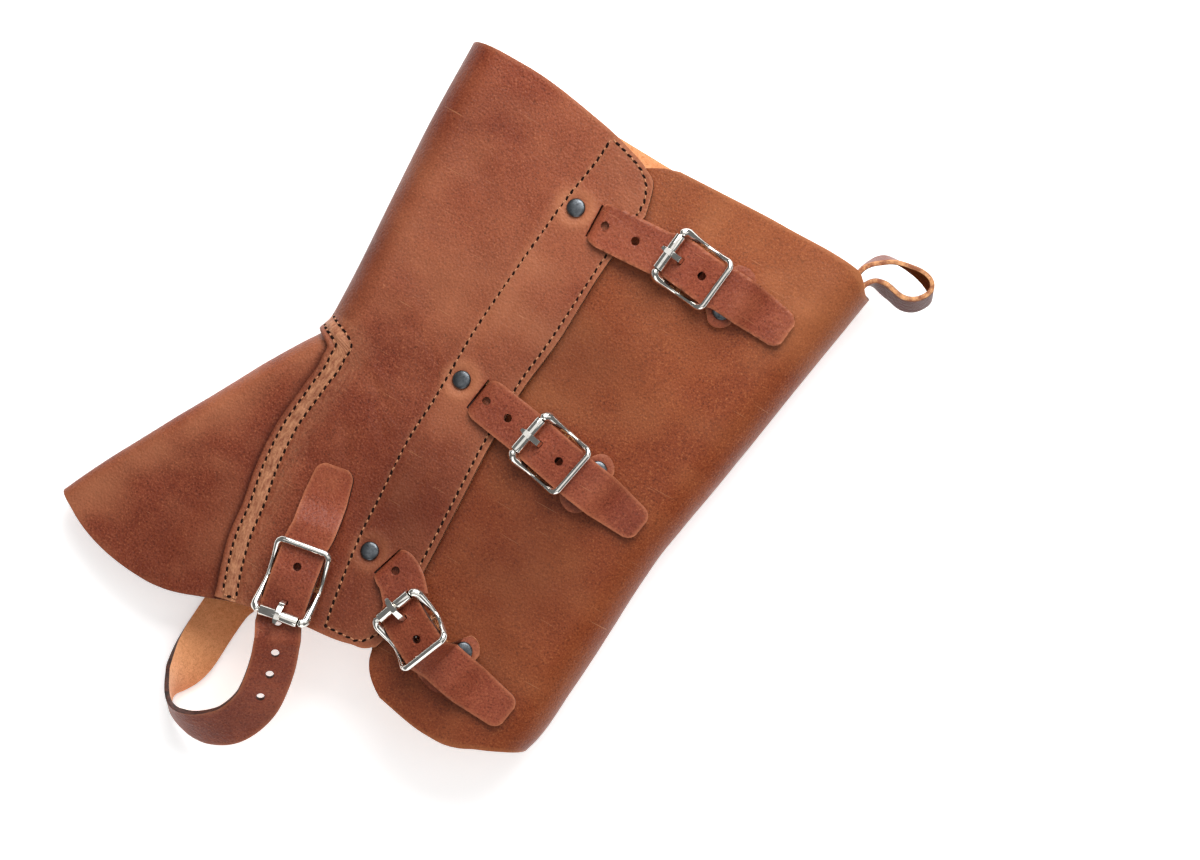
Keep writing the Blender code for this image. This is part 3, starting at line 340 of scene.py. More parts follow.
def throughPoints(points, perStep):
    # Smooth plan curve through points, as many samples for each step as asked.
    points = np.array(points, float)
    knots = {"k": tuple(range(len(points))), "x": tuple(points[:, 0]), "y": tuple(points[:, 1])}
    k = np.linspace(0, len(points) - 1, perStep * (len(points) - 1) + 1)
    return np.column_stack([curve(knots, "x", k), curve(knots, "y", k)])


def distanceTo(x, y, line):
    # Least plan distance from each point to a sampled line, a block of points at a time.
    flat = np.column_stack([np.ravel(x), np.ravel(y)])
    best = np.zeros(len(flat))
    atOnce = 4000
    for start in range(0, len(flat), atOnce):
        gap = flat[start:start + atOnce, None, :] - line[None, :, :]
        best[start:start + atOnce] = np.sqrt((gap ** 2).sum(axis=2).min(axis=1))
    return best.reshape(np.shape(x))


lineA = throughPoints(rowA, 12)
lineB = throughPoints(rowB, 12)
seamScale = 1.25
archTopY = -12.0
archY = np.concatenate([np.linspace(-129.0, archTopY, 200)[:-1],
                        archTopY * (1 - np.linspace(0.0, 1.0, 80)) ** 2])
archLine = np.column_stack([archArc(archY), archY])


def seamDistance(s, y):
    # Way in from the arch edge on the unrolled panel: the scale times the least distance to the edge.
    return seamScale * distanceTo(np.abs(s), y, archLine)


seamStrip = {"middle": 6.1, "half": 2.6, "edge": 0.8, "swell": 0.30, "swellHalf": 2.0}
dish = {"at": 3.4, "half": 1.9, "depth": -0.45, "ringAt": 7.5, "ringHalf": 2.2, "ring": 0.16}
reliefLimit = {"lateral": (-0.75, 0.55), "calf": (-0.7, 0.6)}


def lateralRelief(s, y):
    # Creases and slow noise, grooves under both stitch rows and both seam rows, a swelling between the
    # seam rows, and round each rivet a dish and a ring, all of the form depth exp(-(distance/half)^2).
    x = level("front", y) + level("radius", y) + s - math.pi / 2 * level("radius", y)
    fromSeam = seamDistance(s, y)
    relief = creaseRelief(x, y, creases["lateral"]) + creaseRelief(x, y, creases["placket"])
    relief += clouds(x, y, (0.25, 26.0, 3), (0.05, 9.0, 4))
    toA = distanceTo(x, y, lineA)
    toB = distanceTo(x, y, lineB)
    relief += groove(toA, 0.42, 1.2) + groove(toB, 0.36, 1.1)
    for row in seamRows:
        relief += groove(fromSeam - row, 0.42, 1.0)
    inStrip = bell(fromSeam - seamStrip["middle"], seamStrip["swellHalf"])
    relief += inStrip * (seamStrip["swell"] + clouds(fromSeam, y, (0.10, 1.4, 9), (0.06, 7.0, 10)))
    relief += groove(fromSeam, 0.25, 0.6)
    for rx, ry in placketRivets:
        reach = np.hypot(x - rx, y - ry)
        relief += (dish["depth"] * bell(reach - dish["at"], dish["half"])
                   + dish["ring"] * bell(reach - dish["ringAt"], dish["ringHalf"]))
    return np.clip(relief, *reliefLimit["lateral"])


def calfRelief(s, y, point):
    # Low billows on the calf and medial side, seam grooves as on the lateral side, nothing where it rests.
    x = point[..., 0]
    upper = ease((point[..., 2] - 20.0) / 10.0)
    fromSeam = seamDistance(s, y)
    relief = upper * (creaseRelief(x, y, creases["calf"]) + clouds(x, y, (0.3, 30.0, 5), (0.08, 8.0, 6)))
    for row in seamRows:
        relief += groove(fromSeam - row, 0.35, 1.0)
    relief -= (1 - upper) * 0.12 * (1 + softNoise(x, y, 12.0, 8))
    return np.clip(relief, *reliefLimit["calf"])


# Meshes

def quads(index):
    # The four-sided faces of a grid of point numbers.
    corners = [index[:-1, :-1], index[1:, :-1], index[1:, 1:], index[:-1, 1:]]
    return np.stack(corners, axis=-1).reshape(-1, 4)


def ringFaces(count, sides, joined=False):
    # Faces between closed rings of points; the last ring is joined to the first if asked.
    index = np.arange(count * sides).reshape(count, sides)
    if joined:
        index = np.concatenate([index, index[:1]], axis=0)
    return quads(np.concatenate([index, index[:, :1]], axis=1))


def makeObject(name, points, faces, materials, faceMaterial=None, fields=None, uv=None):
    # Mesh from arrays in millimetres; fields are point attributes, uv a layer in metres.
    mesh = bpy.data.meshes.new(name)
    points = np.asarray(points, np.float32) * mm
    faces = np.asarray(faces, np.int32)
    sides = faces.shape[1]
    mesh.vertices.add(len(points))
    mesh.vertices.foreach_set("co", points.ravel())
    mesh.loops.add(faces.size)
    mesh.loops.foreach_set("vertex_index", faces.ravel())
    mesh.polygons.add(len(faces))
    mesh.polygons.foreach_set("loop_start", np.arange(0, faces.size, sides, dtype=np.int32))
    mesh.polygons.foreach_set("loop_total", np.full(len(faces), sides, np.int32))
    for material in materials:
        mesh.materials.append(material)
    if faceMaterial is not None:
        mesh.polygons.foreach_set("material_index", np.asarray(faceMaterial, np.int32))
    for key, values in (fields or {}).items():
        layer = mesh.attributes.new(key, "FLOAT", "POINT")
        layer.data.foreach_set("value", np.asarray(values, np.float32).ravel())
    if uv is not None:
        layer = mesh.uv_layers.new(name="leatherMap")
        layer.data.foreach_set("uv", (np.asarray(uv, np.float32)[faces.ravel()] * mm).ravel())
    mesh.update(calc_edges=True)
    mesh.validate()
    mesh.shade_smooth()
    piece = bpy.data.objects.new(name, mesh)
    bpy.context.scene.collection.objects.link(piece)
    return piece


def sheetObject(name, outer, inner, faces, materials, fields=None, uv=None):
    # Closed sheet: outer layer (grain), inner layer (flesh) and a rim (cut edge) on every free edge.
    count = len(outer)
    edges = np.concatenate([faces[:, [0, 1]], faces[:, [1, 2]], faces[:, [2, 3]], faces[:, [3, 0]]])
    keys = np.sort(edges, axis=1)
    _, where, times = np.unique(keys, axis=0, return_inverse=True, return_counts=True)
    rim = edges[times[where.ravel()] == 1]
    rims = np.stack([rim[:, 1], rim[:, 0], rim[:, 0] + count, rim[:, 1] + count], axis=-1)
    allFaces = np.concatenate([faces, faces[:, ::-1] + count, rims])
    kinds = np.concatenate([np.zeros(len(faces)), np.ones(len(faces)), np.full(len(rims), 2)])
    points = np.concatenate([outer, inner])
    a, b, c, d = (points[allFaces[:, k]] for k in range(4))
    volume = (a * np.cross(b, c)).sum() + (a * np.cross(c, d)).sum()
    if volume < 0:
        allFaces = allFaces[:, ::-1]
    fields = {key: np.concatenate([values, values]) for key, values in (fields or {}).items()}
    uv = None if uv is None else np.concatenate([uv, uv])
    return makeObject(name, points, allFaces, materials, kinds, fields, uv)


def settle(piece, tools=()):
    # Applies the modifiers to the mesh and removes the cutting tools.
    graph = bpy.context.evaluated_depsgraph_get()
    done = bpy.data.meshes.new_from_object(piece.evaluated_get(graph), depsgraph=graph)
    piece.modifiers.clear()
    old = piece.data
    piece.data = done
    bpy.data.meshes.remove(old)
    for tool in tools:
        bpy.data.objects.remove(tool, do_unlink=True)


def softenEdges(piece, width, segments=3):
    # Rounds the cut edges, where faces meet at more than 50 degrees.
    bevel = piece.modifiers.new("worn edge", "BEVEL")
    bevel.width = width * mm
    bevel.segments = segments
    bevel.limit_method = "ANGLE"
    bevel.angle_limit = math.radians(50)
    bevel.use_clamp_overlap = True
    settle(piece)


def cutOut(piece, tools, spent=None):
    # Takes the tools' shapes out of the piece; a cut wall gets its tool's material. Spent tools go.
    for tool in tools:
        cut = piece.modifiers.new("cut", "BOOLEAN")
        cut.operation = "DIFFERENCE"
        cut.solver = "EXACT"
        cut.material_mode = "TRANSFER"
        cut.object = tool
    settle(piece, tools if spent is None else spent)


def finishPiece(piece, nodes):
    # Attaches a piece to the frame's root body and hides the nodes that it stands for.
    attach(piece, "root")
    if nodes:
        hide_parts(*nodes)
    return piece


# Materials

def startMaterial(name):
    # An empty node material, its tree and the place on the object.
    material = bpy.data.materials.new(name)
    material.use_nodes = True
    tree = material.node_tree
    tree.nodes.clear()
    return material, tree, addNode(tree, "TexCoord", out="Object")


def noise(tree, place, size, detail, **more):
    # Noise with cells of this size in millimetres.
    return addNode(tree, "TexNoise", {"Vector": place, "Scale": 1000 / size, "Detail": detail, **more})


def ramp(tree, value, low, high, toLow=0.0, toHigh=1.0):
    # Straight ramp from toLow at low to toHigh at high.
    return addNode(tree, "MapRange", {"Value": value, "From Min": low, "From Max": high,
                                      "To Min": toLow, "To Max": toHigh})


def mixTones(tree, amount, low, high):
    # Between two colours, each a hex tone or a node's.
    low, high = (hexToLinear(tone) if isinstance(tone, str) else tone for tone in (low, high))
    return addNode(tree, "Mix", {0: amount, 6: low, 7: high}, 2, data_type="RGBA")


def bumpFrom(tree, height, strength, depth):
    # Normal from a height, depth in millimetres.
    return addNode(tree, "Bump", {"Height": height, "Strength": strength, "Distance": depth * mm})


def finishMaterial(material, tree, **inputs):
    # Principled shader and output; an underscore in a name stands for a space.
    named = {key.replace("_", " "): value for key, value in inputs.items()}
    shader = addNode(tree, "BsdfPrincipled", named)
    addNode(tree, "OutputMaterial", {"Surface": shader})
    return material


def leatherGrain(name, look):
    # Waxed vegetable-tanned cowhide, drum dyed and oiled, so it pulls up paler where it was rubbed, with
    # painted highlights where light falls and painted shade in folds and undercuts: broad cloudy tone, fine
    # pebbled pores, specks and scratches.
    material, tree, place = startMaterial(name)
    chart = addNode(tree, "UVMap", uv_map="leatherMap")
    worn = addNode(tree, "Attribute", out="Fac", attribute_name="worn")
    band = addNode(tree, "Attribute", out="Fac", attribute_name="band")
    shade = addNode(tree, "Attribute", out="Fac", attribute_name="shade")
    cloud = noise(tree, place, 55.0, 3.0, Roughness=0.55)
    mottle = noise(tree, place, 9.0, 4.0, Distortion=0.6)
    fine = noise(tree, place, look["grain"], 4.0, Roughness=0.75)
    pebble = addNode(tree, "TexVoronoi", {"Vector": place, "Scale": 1000 / look["pebble"]},
                     feature="SMOOTH_F1")
    lengthwise = addNode(tree, "Mapping", {"Vector": chart, "Scale": (1000 / 1.3, 1000 / 4.0, 1.0)})
    fibres = addNode(tree, "TexNoise", {"Vector": lengthwise, "Scale": 1.0, "Detail": 4.0, "Roughness": 0.6})
    slanted = addNode(tree, "Mapping", {"Vector": place, "Rotation": (0.0, 0.0, look["scratchTurn"]),
                                        "Scale": (1000 / 26.0, 1000 / 0.7, 1000 / 20.0)})
    scratch = addNode(tree, "TexNoise", {"Vector": slanted, "Scale": 1.0, "Detail": 2.0, "Roughness": 0.5})

    colour = look["deep"]
    layers = (  # what drives the layer, its range, how strong, and its colour
        (cloud, 0.36, 0.66, 1.0, look["mid"]), (mottle, 0.44, 0.66, look["mottle"], look["light"]),
        (fine, 0.55, 0.72, look["grit"], look["fleck"]), (fine, 0.48, 0.34, look["grit"], look["pore"]),
        # worn is rubbed wear with painted highlights; shade is painted shade in waxed
        (worn, 0.0, 1.0, 0.75, look["worn"]), (band, 0.0, 1.0, 0.85, look["bandDeep"]),
        (scratch, 0.715, 0.76, 0.5, look["speck"]), (shade, 0.0, 1.0, 0.95, look["waxed"]))
    for driver, low, high, most, tone in layers:
        if driver is band:
            tone = mixTones(tree, ramp(tree, fibres, 0.30, 0.70), tone, look["bandLight"])
        colour = mixTones(tree, ramp(tree, driver, low, high, 0.0, most), colour, tone)

    creased = addNode(tree, "Math", {0: fibres, 1: band}, operation="MULTIPLY")
    height = addNode(tree, "Math", {0: creased, 1: 1.6, 2: mottle}, operation="MULTIPLY_ADD")
    height = addNode(tree, "Math", {0: pebble, 1: 0.9, 2: height}, operation="MULTIPLY_ADD")
    height = addNode(tree, "Math", {0: fine, 1: 0.5, 2: height}, operation="MULTIPLY_ADD")
    bump = bumpFrom(tree, height, look["bump"], 0.22)
    rough = ramp(tree, mottle, 0.3, 0.7, look["roughLow"], look["roughHigh"])
    return finishMaterial(material, tree, Base_Color=colour, Roughness=rough, Normal=bump, IOR=1.45,
                          Specular_IOR_Level=0.22)


def leatherFlesh(name, light, deep, fuzz=0.25):
    # Flesh side of the hide, split and sanded, so it is a matt orange nap with dark fibre specks.
    material, tree, place = startMaterial(name)
    nap = noise(tree, place, 1.1, 5.0, Roughness=0.75, Distortion=1.2)
    patch = noise(tree, place, 12.0, 3.0)
    colour = mixTones(tree, ramp(tree, nap, 0.38, 0.58), deep, light)
    colour = mixTones(tree, ramp(tree, patch, 0.3, 0.7, 0.0, 0.35), colour, deep)
    bump = bumpFrom(tree, nap, 0.9, 0.35)
    return finishMaterial(material, tree, Base_Color=colour, Roughness=0.92, Normal=bump,
                          Specular_IOR_Level=0.8 * fuzz, Sheen_Weight=fuzz, Sheen_Roughness=0.6)


def leatherEdge(name, light, deep):
    # Cut edge of the hide, rubbed with wax, so its layered fibres show between paler and darker lines.
    material, tree, place = startMaterial(name)
    flat = addNode(tree, "Mapping", {"Vector": place, "Scale": (1000 / 3.0, 1000 / 3.0, 1000 / 0.6)})
    fibre = addNode(tree, "TexNoise", {"Vector": flat, "Scale": 1.0, "Detail": 4.0, "Roughness": 0.7})
    colour = mixTones(tree, ramp(tree, fibre, 0.4, 0.64), deep, light)
    bump = bumpFrom(tree, fibre, 0.6, 0.2)
    return finishMaterial(material, tree, Base_Color=colour, Roughness=0.6, Normal=bump)


def platedMetal(name, bright, dull, rough, mark):
    # Plated and tumbled metal: even bright plating whose gloss is broken by faint handling marks.
    material, tree, place = startMaterial(name)
    smear = noise(tree, place, 2.5, 4.0, Roughness=0.6)
    fine = noise(tree, place, 0.35, 2.0)
    colour = mixTones(tree, ramp(tree, smear, 0.4, 0.7), bright, dull)
    gloss = ramp(tree, smear, 0.35, 0.7, rough, rough + mark)
    bump = bumpFrom(tree, fine, mark, 0.01)
    return finishMaterial(material, tree, Base_Color=colour, Roughness=gloss, Normal=bump, Metallic=1.0)


def twistedThread(name, light, deep):
    # Waxed polyester thread, twisted from three plies, so short slanting lines cross each stitch.
    material, tree, place = startMaterial(name)
    ply = addNode(tree, "TexWave", {"Vector": place, "Scale": 1000 / 1.6, "Distortion": 2.0, "Detail": 2.0},
                  bands_direction="DIAGONAL")
    colour = mixTones(tree, ply, deep, light)
    bump = bumpFrom(tree, ply, 0.5, 0.1)
    return finishMaterial(material, tree, Base_Color=colour, Roughness=0.62, Normal=bump)


def awlHole(name, tone, deep):
    # Inside of an awl hole: compressed leather with wax, almost black, since no light gets in.
    material, tree, place = startMaterial(name)
    colour = mixTones(tree, noise(tree, place, 0.9, 2.0), deep, tone)
    return finishMaterial(material, tree, Base_Color=colour, Roughness=0.85, Specular_IOR_Level=0.1)


panelLook = {"deep": "73321f", "mid": "863f28", "light": "9d5236", "worn": "b87552", "waxed": "4a1606",
             "speck": "c88a62", "fleck": "b06c48", "pore": "35150a",
             "bandDeep": "7d452e", "bandLight": "cb906a",
             "grain": 0.8, "grit": 0.8, "mottle": 0.25, "pebble": 1.0, "bump": 1.0,
             "roughLow": 0.36, "roughHigh": 0.48, "scratchTurn": 0.6}
calfLook = dict(panelLook, deep="7d391e", mid="8b4323", light="a2552f", worn="bd7a4e", fleck="b87346",
                grit=0.75, mottle=0.15, bump=0.8, scratchTurn=-0.5)
strapLook = dict(panelLook, deep="7a3827", mid="8d442e", light="a2573c", worn="bd7552",
                 grit=0.7, pebble=1.3, bump=1.1, roughLow=0.32, roughHigh=0.44, scratchTurn=1.3)

panelGrain = leatherGrain("waxed cowhide, grain side", panelLook)
calfGrain = leatherGrain("waxed cowhide, calf side", calfLook)
strapGrain = leatherGrain("bridle strap, boarded grain", strapLook)
flesh = leatherFlesh("cowhide, sanded flesh side", "f6b380", "d58d57")
panelCut = leatherEdge("cut edge, waxed", "6f4029", "2c130c")
# The pull loop's flesh side, dark brown as painted shade.
shadedLoopFlesh = leatherFlesh("cowhide, flesh side in painted shade", "7d4426", "4a2413", fuzz=0.0)
loopCut = leatherEdge("cut edge, torn fibres", "e2a56d", "8c4e2c")
strapCut = leatherEdge("strap edge, burnished", "5c3022", "24100a")
nickel = platedMetal("steel wire, nickel plated", "f0ede6", "dfdbd3", 0.07, 0.05)
gunmetal = platedMetal("steel cap, black nickel", "6c7074", "393c40", 0.28, 0.16)
thread = twistedThread("waxed sewing thread", "c98c63", "8f5335")
holeDark = awlHole("awl hole", "24110b", "0c0604")
print("stage: materials made")


# Main panel: lateral and medial blocks share the shin fold above the vamp

mainPanel = {"rows": 132, "hemY": -120.5, "topY": 135.9, "archRows": (-20.0, 8.0, 36), "rowGap": 0.25,
             "lapFromX": -20.0, "lapBelow": 3.2, "wornEdge": 0.6, "flat": (0.425, 0.262), "area": 0.0945}


def spread(parts):
    # Joined runs of evenly spaced values: (from, to, count) each.
    return np.unique(np.concatenate([np.linspace(a, b, n) for a, b, n in parts]))


paintedLightSpots = (  # plan x and y, radius and strength: + is a painted highlight, - is painted shade
    (-58, 54, 34, 0.25), (-17, 66, 28, 0.25), (40, 122, 36, 0.32), (80, 44, 12, 0.25), (86, 96, 15, 0.45),
    (-134, -108, 12, 0.30), (-80, 112, 34, -0.10), (-44, -25, 30, -0.10), (-22, -50, 26, -0.50),
    (-97, -114, 26, -0.05), (35, -45, 38, -0.50), (40, -108, 26, -0.35), (14, 44, 26, -0.45),
    (-30, -104, 24, -0.35), (-88, 40, 12, -0.30))


def paintedLightAt(x, y, sign):
    # Sum of strength exp(-(distance/radius)^2) over the spots of one sign: painted highlight for +1, painted
    # shade for -1.
    total = np.zeros_like(x)
    for spotX, spotY, radius, strength in paintedLightSpots:
        if strength * sign > 0:
            total += abs(strength) * bell(np.hypot(x - spotX, y - spotY), radius)
    return total


def panelFields(s, y, lateral, x, toRim):
    # worn: paler at the placket edge, rims and round rivets, plus painted highlight spots; band: seam and
    # placket strips; shade: painted shade at the seam edge, shin fold and spots.
    # Each is a sum of strength exp(-(distance/half)^2), from the seam, rows, edges and rivets, and noise.
    fromSeam = seamDistance(s, y)
    edge = np.where(lateral, 1.0, 0.8)
    outside = np.maximum(np.abs(fromSeam - seamStrip["middle"]) - seamStrip["half"], 0.0)
    seamBand = bell(outside, seamStrip["edge"])
    halo = bell(np.maximum(np.abs(fromSeam - 8.0) - 5.0, 0.0), 5.0) * 0.25
    band = np.maximum(seamBand, halo) * edge
    worn = 0.30 * np.maximum(softNoise(x, y, 40.0, 21), 0) + 0.15 * softNoise(x, y, 11.0, 22)
    toEdge = np.abs(x - curve(placketEdge, "x", y))
    toRow = np.minimum(distanceTo(x, y, lineA), distanceTo(x, y, lineB))
    rows = bell(toRow, 1.1) * 0.45
    inside = ease((x + 31.0) / 4.0)
    worn = worn + lateral * inside * 0.28 * (0.6 + 0.6 * softNoise(x, y, 14.0, 23))
    worn = worn + lateral * bell(toEdge, 1.2) * 0.5
    for rx, ry in placketRivets:
        reach = np.hypot(x - rx, y - ry)
        worn = worn + lateral * 0.5 * bell(reach - 6.5, 2.5)
    band = np.maximum(band, rows * lateral)
    # Paler along the top and hem rims; painted highlights from the spots.
    worn = worn + 0.65 * bell(toRim, 1.3) + paintedLightAt(x, y, 1)
    # Painted shadow along the arch edge over the vamp, painted shade beside the shin fold and from the spots.
    shade = 0.5 * bell(fromSeam, 0.7)
    foldShade = 0.35 * bell(level("front", y) + 2.0 - x, 6.0) * (y > 8)
    shade = shade + foldShade + paintedLightAt(x, y, -1)
    return {"worn": np.clip(worn, 0, 1), "band": np.clip(band, 0, 1), "shade": np.clip(shade, 0, 1)}


def makeMainPanel():
    # Two grids over the tube, joined at the shin fold above the arch; the calf side has its own finish.
    hemY, topY = mainPanel["hemY"], mainPanel["topY"]
    rowY = spread([(hemY, topY, mainPanel["rows"]), mainPanel["archRows"], (0.0, 0.0, 1)])
    rowY = rowY[np.concatenate([[True], np.diff(rowY) > mainPanel["rowGap"]])]
    rowY[np.argmin(np.abs(rowY))] = 0.0
    v = (rowY - hemY) / (topY - hemY)
    lateralU = spread([(0, 0.14, 18), (0.14, 0.62, 26), (0.62, 0.94, 34), (0.94, 1.0, 12)])
    medialU = spread([(0, 0.06, 20), (0.06, 0.55, 42), (0.55, 0.82, 44), (0.82, 1.0, 22)])
    ls, ly = lateralGrid(*np.meshgrid(lateralU, v, indexing="ij"))
    ms, my = medialGrid(*np.meshgrid(medialU, v, indexing="ij"))
    lateralIndex = np.arange(ls.size).reshape(ls.shape)
    medialIndex = np.arange(ms.size).reshape(ms.shape) + ls.size
    shared = rowY >= 0
    medialIndex[0, shared] = lateralIndex[0, shared]
    s = np.concatenate([ls.ravel(), ms.ravel()])
    y = np.concatenate([ly.ravel(), my.ravel()])
    toRim = np.tile(np.minimum(v, 1 - v) * (topY - hemY), len(lateralU) + len(medialU))
    lateral = np.concatenate([np.ones(ls.size, bool), np.zeros(ms.size, bool)])
    faces = np.concatenate([quads(lateralIndex), quads(medialIndex)[:, ::-1]])
    used, slim = np.unique(faces, return_inverse=True)
    faces = slim.reshape(faces.shape)
    s, y, lateral, toRim = s[used], y[used], lateral[used], toRim[used]
    middle = tubePoint(s, y, 0.0)
    relief = np.where(lateral, lateralRelief(s, y), calfRelief(s, y, middle))
    nearFold = ease(np.abs(s) / 6.0) * (y > -2) + (y <= -2)
    relief = relief * nearFold
    half = leather["panel"] / 2
    outer = tubePoint(s, y, -half - relief)
    inner = tubePoint(s, y, half - 0.3 * np.minimum(relief, 0.0))
    fields = panelFields(s, y, lateral, middle[:, 0], toRim)
    uv = np.column_stack([np.abs(s) - archArc(y), y])
    piece = sheetObject("mainPanel", outer, inner, faces, [panelGrain, flesh, panelCut, calfGrain],
                        fields, uv)
    kinds = np.empty(len(piece.data.polygons), np.int32)
    piece.data.polygons.foreach_get("material_index", kinds)
    centres = np.empty(len(kinds) * 3, np.float32)
    piece.data.polygons.foreach_get("center", centres)
    centres = centres.reshape(-1, 3) / mm
    below = topFace(centres[:, 0], centres[:, 1]) - centres[:, 2]
    onLap = (centres[:, 0] > mainPanel["lapFromX"]) & (below > mainPanel["lapBelow"])
    kinds[(kinds == 0) & onLap] = 3
    piece.data.polygons.foreach_set("material_index", kinds)
    return piece


def gridPoints(surface, u, v):
    # Distance round the tube and height at each grid point, in a row, and the grid's faces.
    s, y = surface(*np.meshgrid(u, v, indexing="ij"))
    return s.ravel(), y.ravel(), quads(np.arange(s.size).reshape(s.shape))


def makeVamp():
    # A folded piece inside the tube: outer face at depth - relief, inner a panel's thickness further in.
    u = spread([(-1, -0.2, 40), (-0.2, 0.2, 30), (0.2, 1, 40)])
    v = np.linspace(0, 1, 84)
    s, y, faces = gridPoints(vampGrid, u, v)
    depth = under + 0.2 - leather["panel"] / 2
    middle = tubePoint(s, y, depth)
    x = middle[:, 0]
    showing = ease((archArc(y) - np.abs(s)) / 6.0)
    relief = (creaseRelief(x, y, creases["vamp"]) + clouds(x, y, (0.30, 22.0, 31), (0.05, 7.0, 32)))
    relief = showing * relief * (middle[:, 2] > vampCut["smoothBelow"])
    outer = tubePoint(s, y, depth - relief)
    inner = tubePoint(s, y, depth + leather["panel"] - 0.4 * relief)
    toHem = y - curve(vampHem, "y", np.clip(np.abs(s) / (archArc(y) + vampCut["tuck"]), 0, 1))
    worn = 0.35 * np.maximum(softNoise(x, y, 26.0, 33), 0) + 0.15 * softNoise(x, y, 8.0, 34)
    # Paler along the hem; painted highlights from the spots and along the ridge, 13 mm round from the shin
    # fold.
    worn += 0.30 * bell(toHem, 1.5) + paintedLightAt(x, y, 1)
    worn += 0.40 * bell(np.abs(s) - 13.0, 9.0)
    # Painted shadow under the arch edge, painted shade from the spots, and darker away from the ridge as
    # painted shade.
    shade = 0.75 * bell(archArc(y) - np.abs(s), 2.2) + paintedLightAt(x, y, -1)
    shade += 0.25 * ease((np.abs(s) - 24.0) / 36.0)
    fields = {"worn": np.clip(worn, 0, 1), "band": np.zeros(len(s)), "shade": np.clip(shade, 0, 1)}
    uv = np.column_stack([s, y])
    return sheetObject("toeVamp", outer, inner, faces, [panelGrain, flesh, panelCut], fields, uv)


def makeFacing():
    # Strip inside the placket edge, as deep in the tube as the panel and a gap.
    u = spread([(0.68, 0.93, 14), (0.93, 1.0, 10)])
    v = np.linspace(0, 1, 90)
    s, y, faces = gridPoints(lateralGrid, u, v)
    depth = under - leather["panel"] / 2
    fields = {"worn": np.zeros(len(s)), "band": np.zeros(len(s)), "shade": np.zeros(len(s))}
    return sheetObject("placketFacing", tubePoint(s, y, depth), tubePoint(s, y, depth + leather["facing"]),
                       faces, [flesh, flesh, panelCut], fields, np.column_stack([s, y]))


# Closures. The strap's plan path: hidden end, slot, past it, roller, centre bar, end bar, further, tip.

closures = (
    {"path": ((-34.0, 95.4), (-8.0, 95.7), (10.0, 96.6), (24.3, 97.6), (36.5, 98.2), (48.6, 97.9),
              (64.0, 97.0), (84.5, 94.8)),
     "turn": -6.0, "pitch": 0.0, "roll": 0.0, "tipHalf": 8.0, "earShift": -1.2, "holes": (-41.0, -26.8, 4.6)},
    {"path": ((-39.5, 12.0), (-13.9, 8.2), (0.0, 6.1), (12.6, 4.2), (23.8, 2.0), (35.0, -0.4), (50.0, -2.6),
              (72.0, -6.0)),
     "turn": -11.0, "pitch": 0.0, "roll": 0.0, "tipHalf": 7.2, "earShift": 0.8, "holes": (-35.0, -23.6, 4.6)},
    {"path": ((-37.0, -67.0), (-11.9, -71.4), (-6.0, -73.6), (3.4, -82.6), (13.3, -89.5), (23.6, -94.6),
              (38.0, -97.9), (63.0, -101.7)),
     "turn": -27.0, "pitch": 16.0, "roll": 16.0, "tipHalf": 7.6, "earShift": 2.3, "holes": (-27.5, 4.6)},
)
strap = {"half": 9.7, "neck": 7.0, "corner": 4.0, "bend": 2.5, "slotHalf": 1.3, "facingSlotHalf": 2.6,
         "slotSplit": 1.95, "centrePoint": 4, "columns": 15, "punch": 1.8, "tipRound": 4.4, "wornEdge": 0.55,
         "step": 1.4, "taperOver": 22.0, "pastRivet": 6.5, "tipCut": (2.2, 1.5, 0.9, 0.5, 0.2, 0.05)}
buckle = {"wire": 1.3, "bar": 3.3, "barRadius": 1.22, "roller": 10.0, "end": 8.95, "rail": 11.6,
          "corner": 2.6, "rollerRadius": 2.4, "rollerBore": 1.7, "rollerHalf": 8.5, "prong": 1.6,
          "prongHalf": 1.2, "reach": 12.2, "firm": 12.2, "firmFade": 3.0,
          "rollClear": 11.5, "pitchClear": 10.0}
rivet = {"radius": 4.0, "height": 1.3, "shank": 1.2, "foot": 3.4, "footHeight": 0.8, "seat": 0.35}
chape = {"neck": 8.5, "earA": 19.5, "earB": 6.8, "earRadius": 7.4, "end": 25.8, "columns": 9,
         "windowA": -0.6, "window": {"halfA": 4.6, "halfB": 1.9, "low": -0.6, "high": 7.4}}
foot = {"x": -42.0, "y": -98.1, "turn": 100.6, "reach": 15.4, "tip": (-50.5, -47.2), "slot": (-51.0, -88.0),
        "end": (-40.9, -57.5), "rivets": ((-43.4, -65.0), (-47.6, -78.0)),
        "holesBack": (6.5, 17.0, 27.5, 38.0), "windowHole": 6.4,
        "slotCut": {"halfA": 2.45, "halfB": 10.4, "low": -1.5, "high": 4.0}}
overBar = buckle["bar"] + buckle["wire"] + 2 * leather["gap"] + leather["chape"] + leather["strap"] / 2
# The foot strap's free loop: points of its middle line, and how far it is rolled over, in degrees.
footLoop = {
    "x": (-57.0, -60.8, -63.6, -64.8, -65.2, -66.4, -66.0, -61.5, -54.0, -44.5, -35.5, -31.2, -32.8, -36.4),
    "y": (-103.0, -114.0, -122.0, -136.0, -149.0, -159.5, -167.0, -172.0, -173.5, -171.0, -162.5, -148.0,
          -134.0, -122.0),
    "z": (1.1, 1.1, 1.1, 2.2, 6.0, 9.6, 11.2, 12.2, 14.0, 18.0, 24.5, 32.0, 38.0, 42.5),
    "roll": (0.0, 0.0, 0.0, 5.0, 24.0, 58.0, 88.0, 100.0, 113.0, 132.0, 149.0, 160.0, 169.0, 177.0),
}


def faceNormal(x, y):
    # Unit normal of the upper wall, from the heights half a millimetre to each side.
    step = 0.5
    slopeX = float(topFace(x + step, y) - topFace(x - step, y)) / (2 * step)
    slopeY = float(topFace(x, y + step) - topFace(x, y - step)) / (2 * step)
    return Vector((-slopeX, -slopeY, 1.0)).normalized()


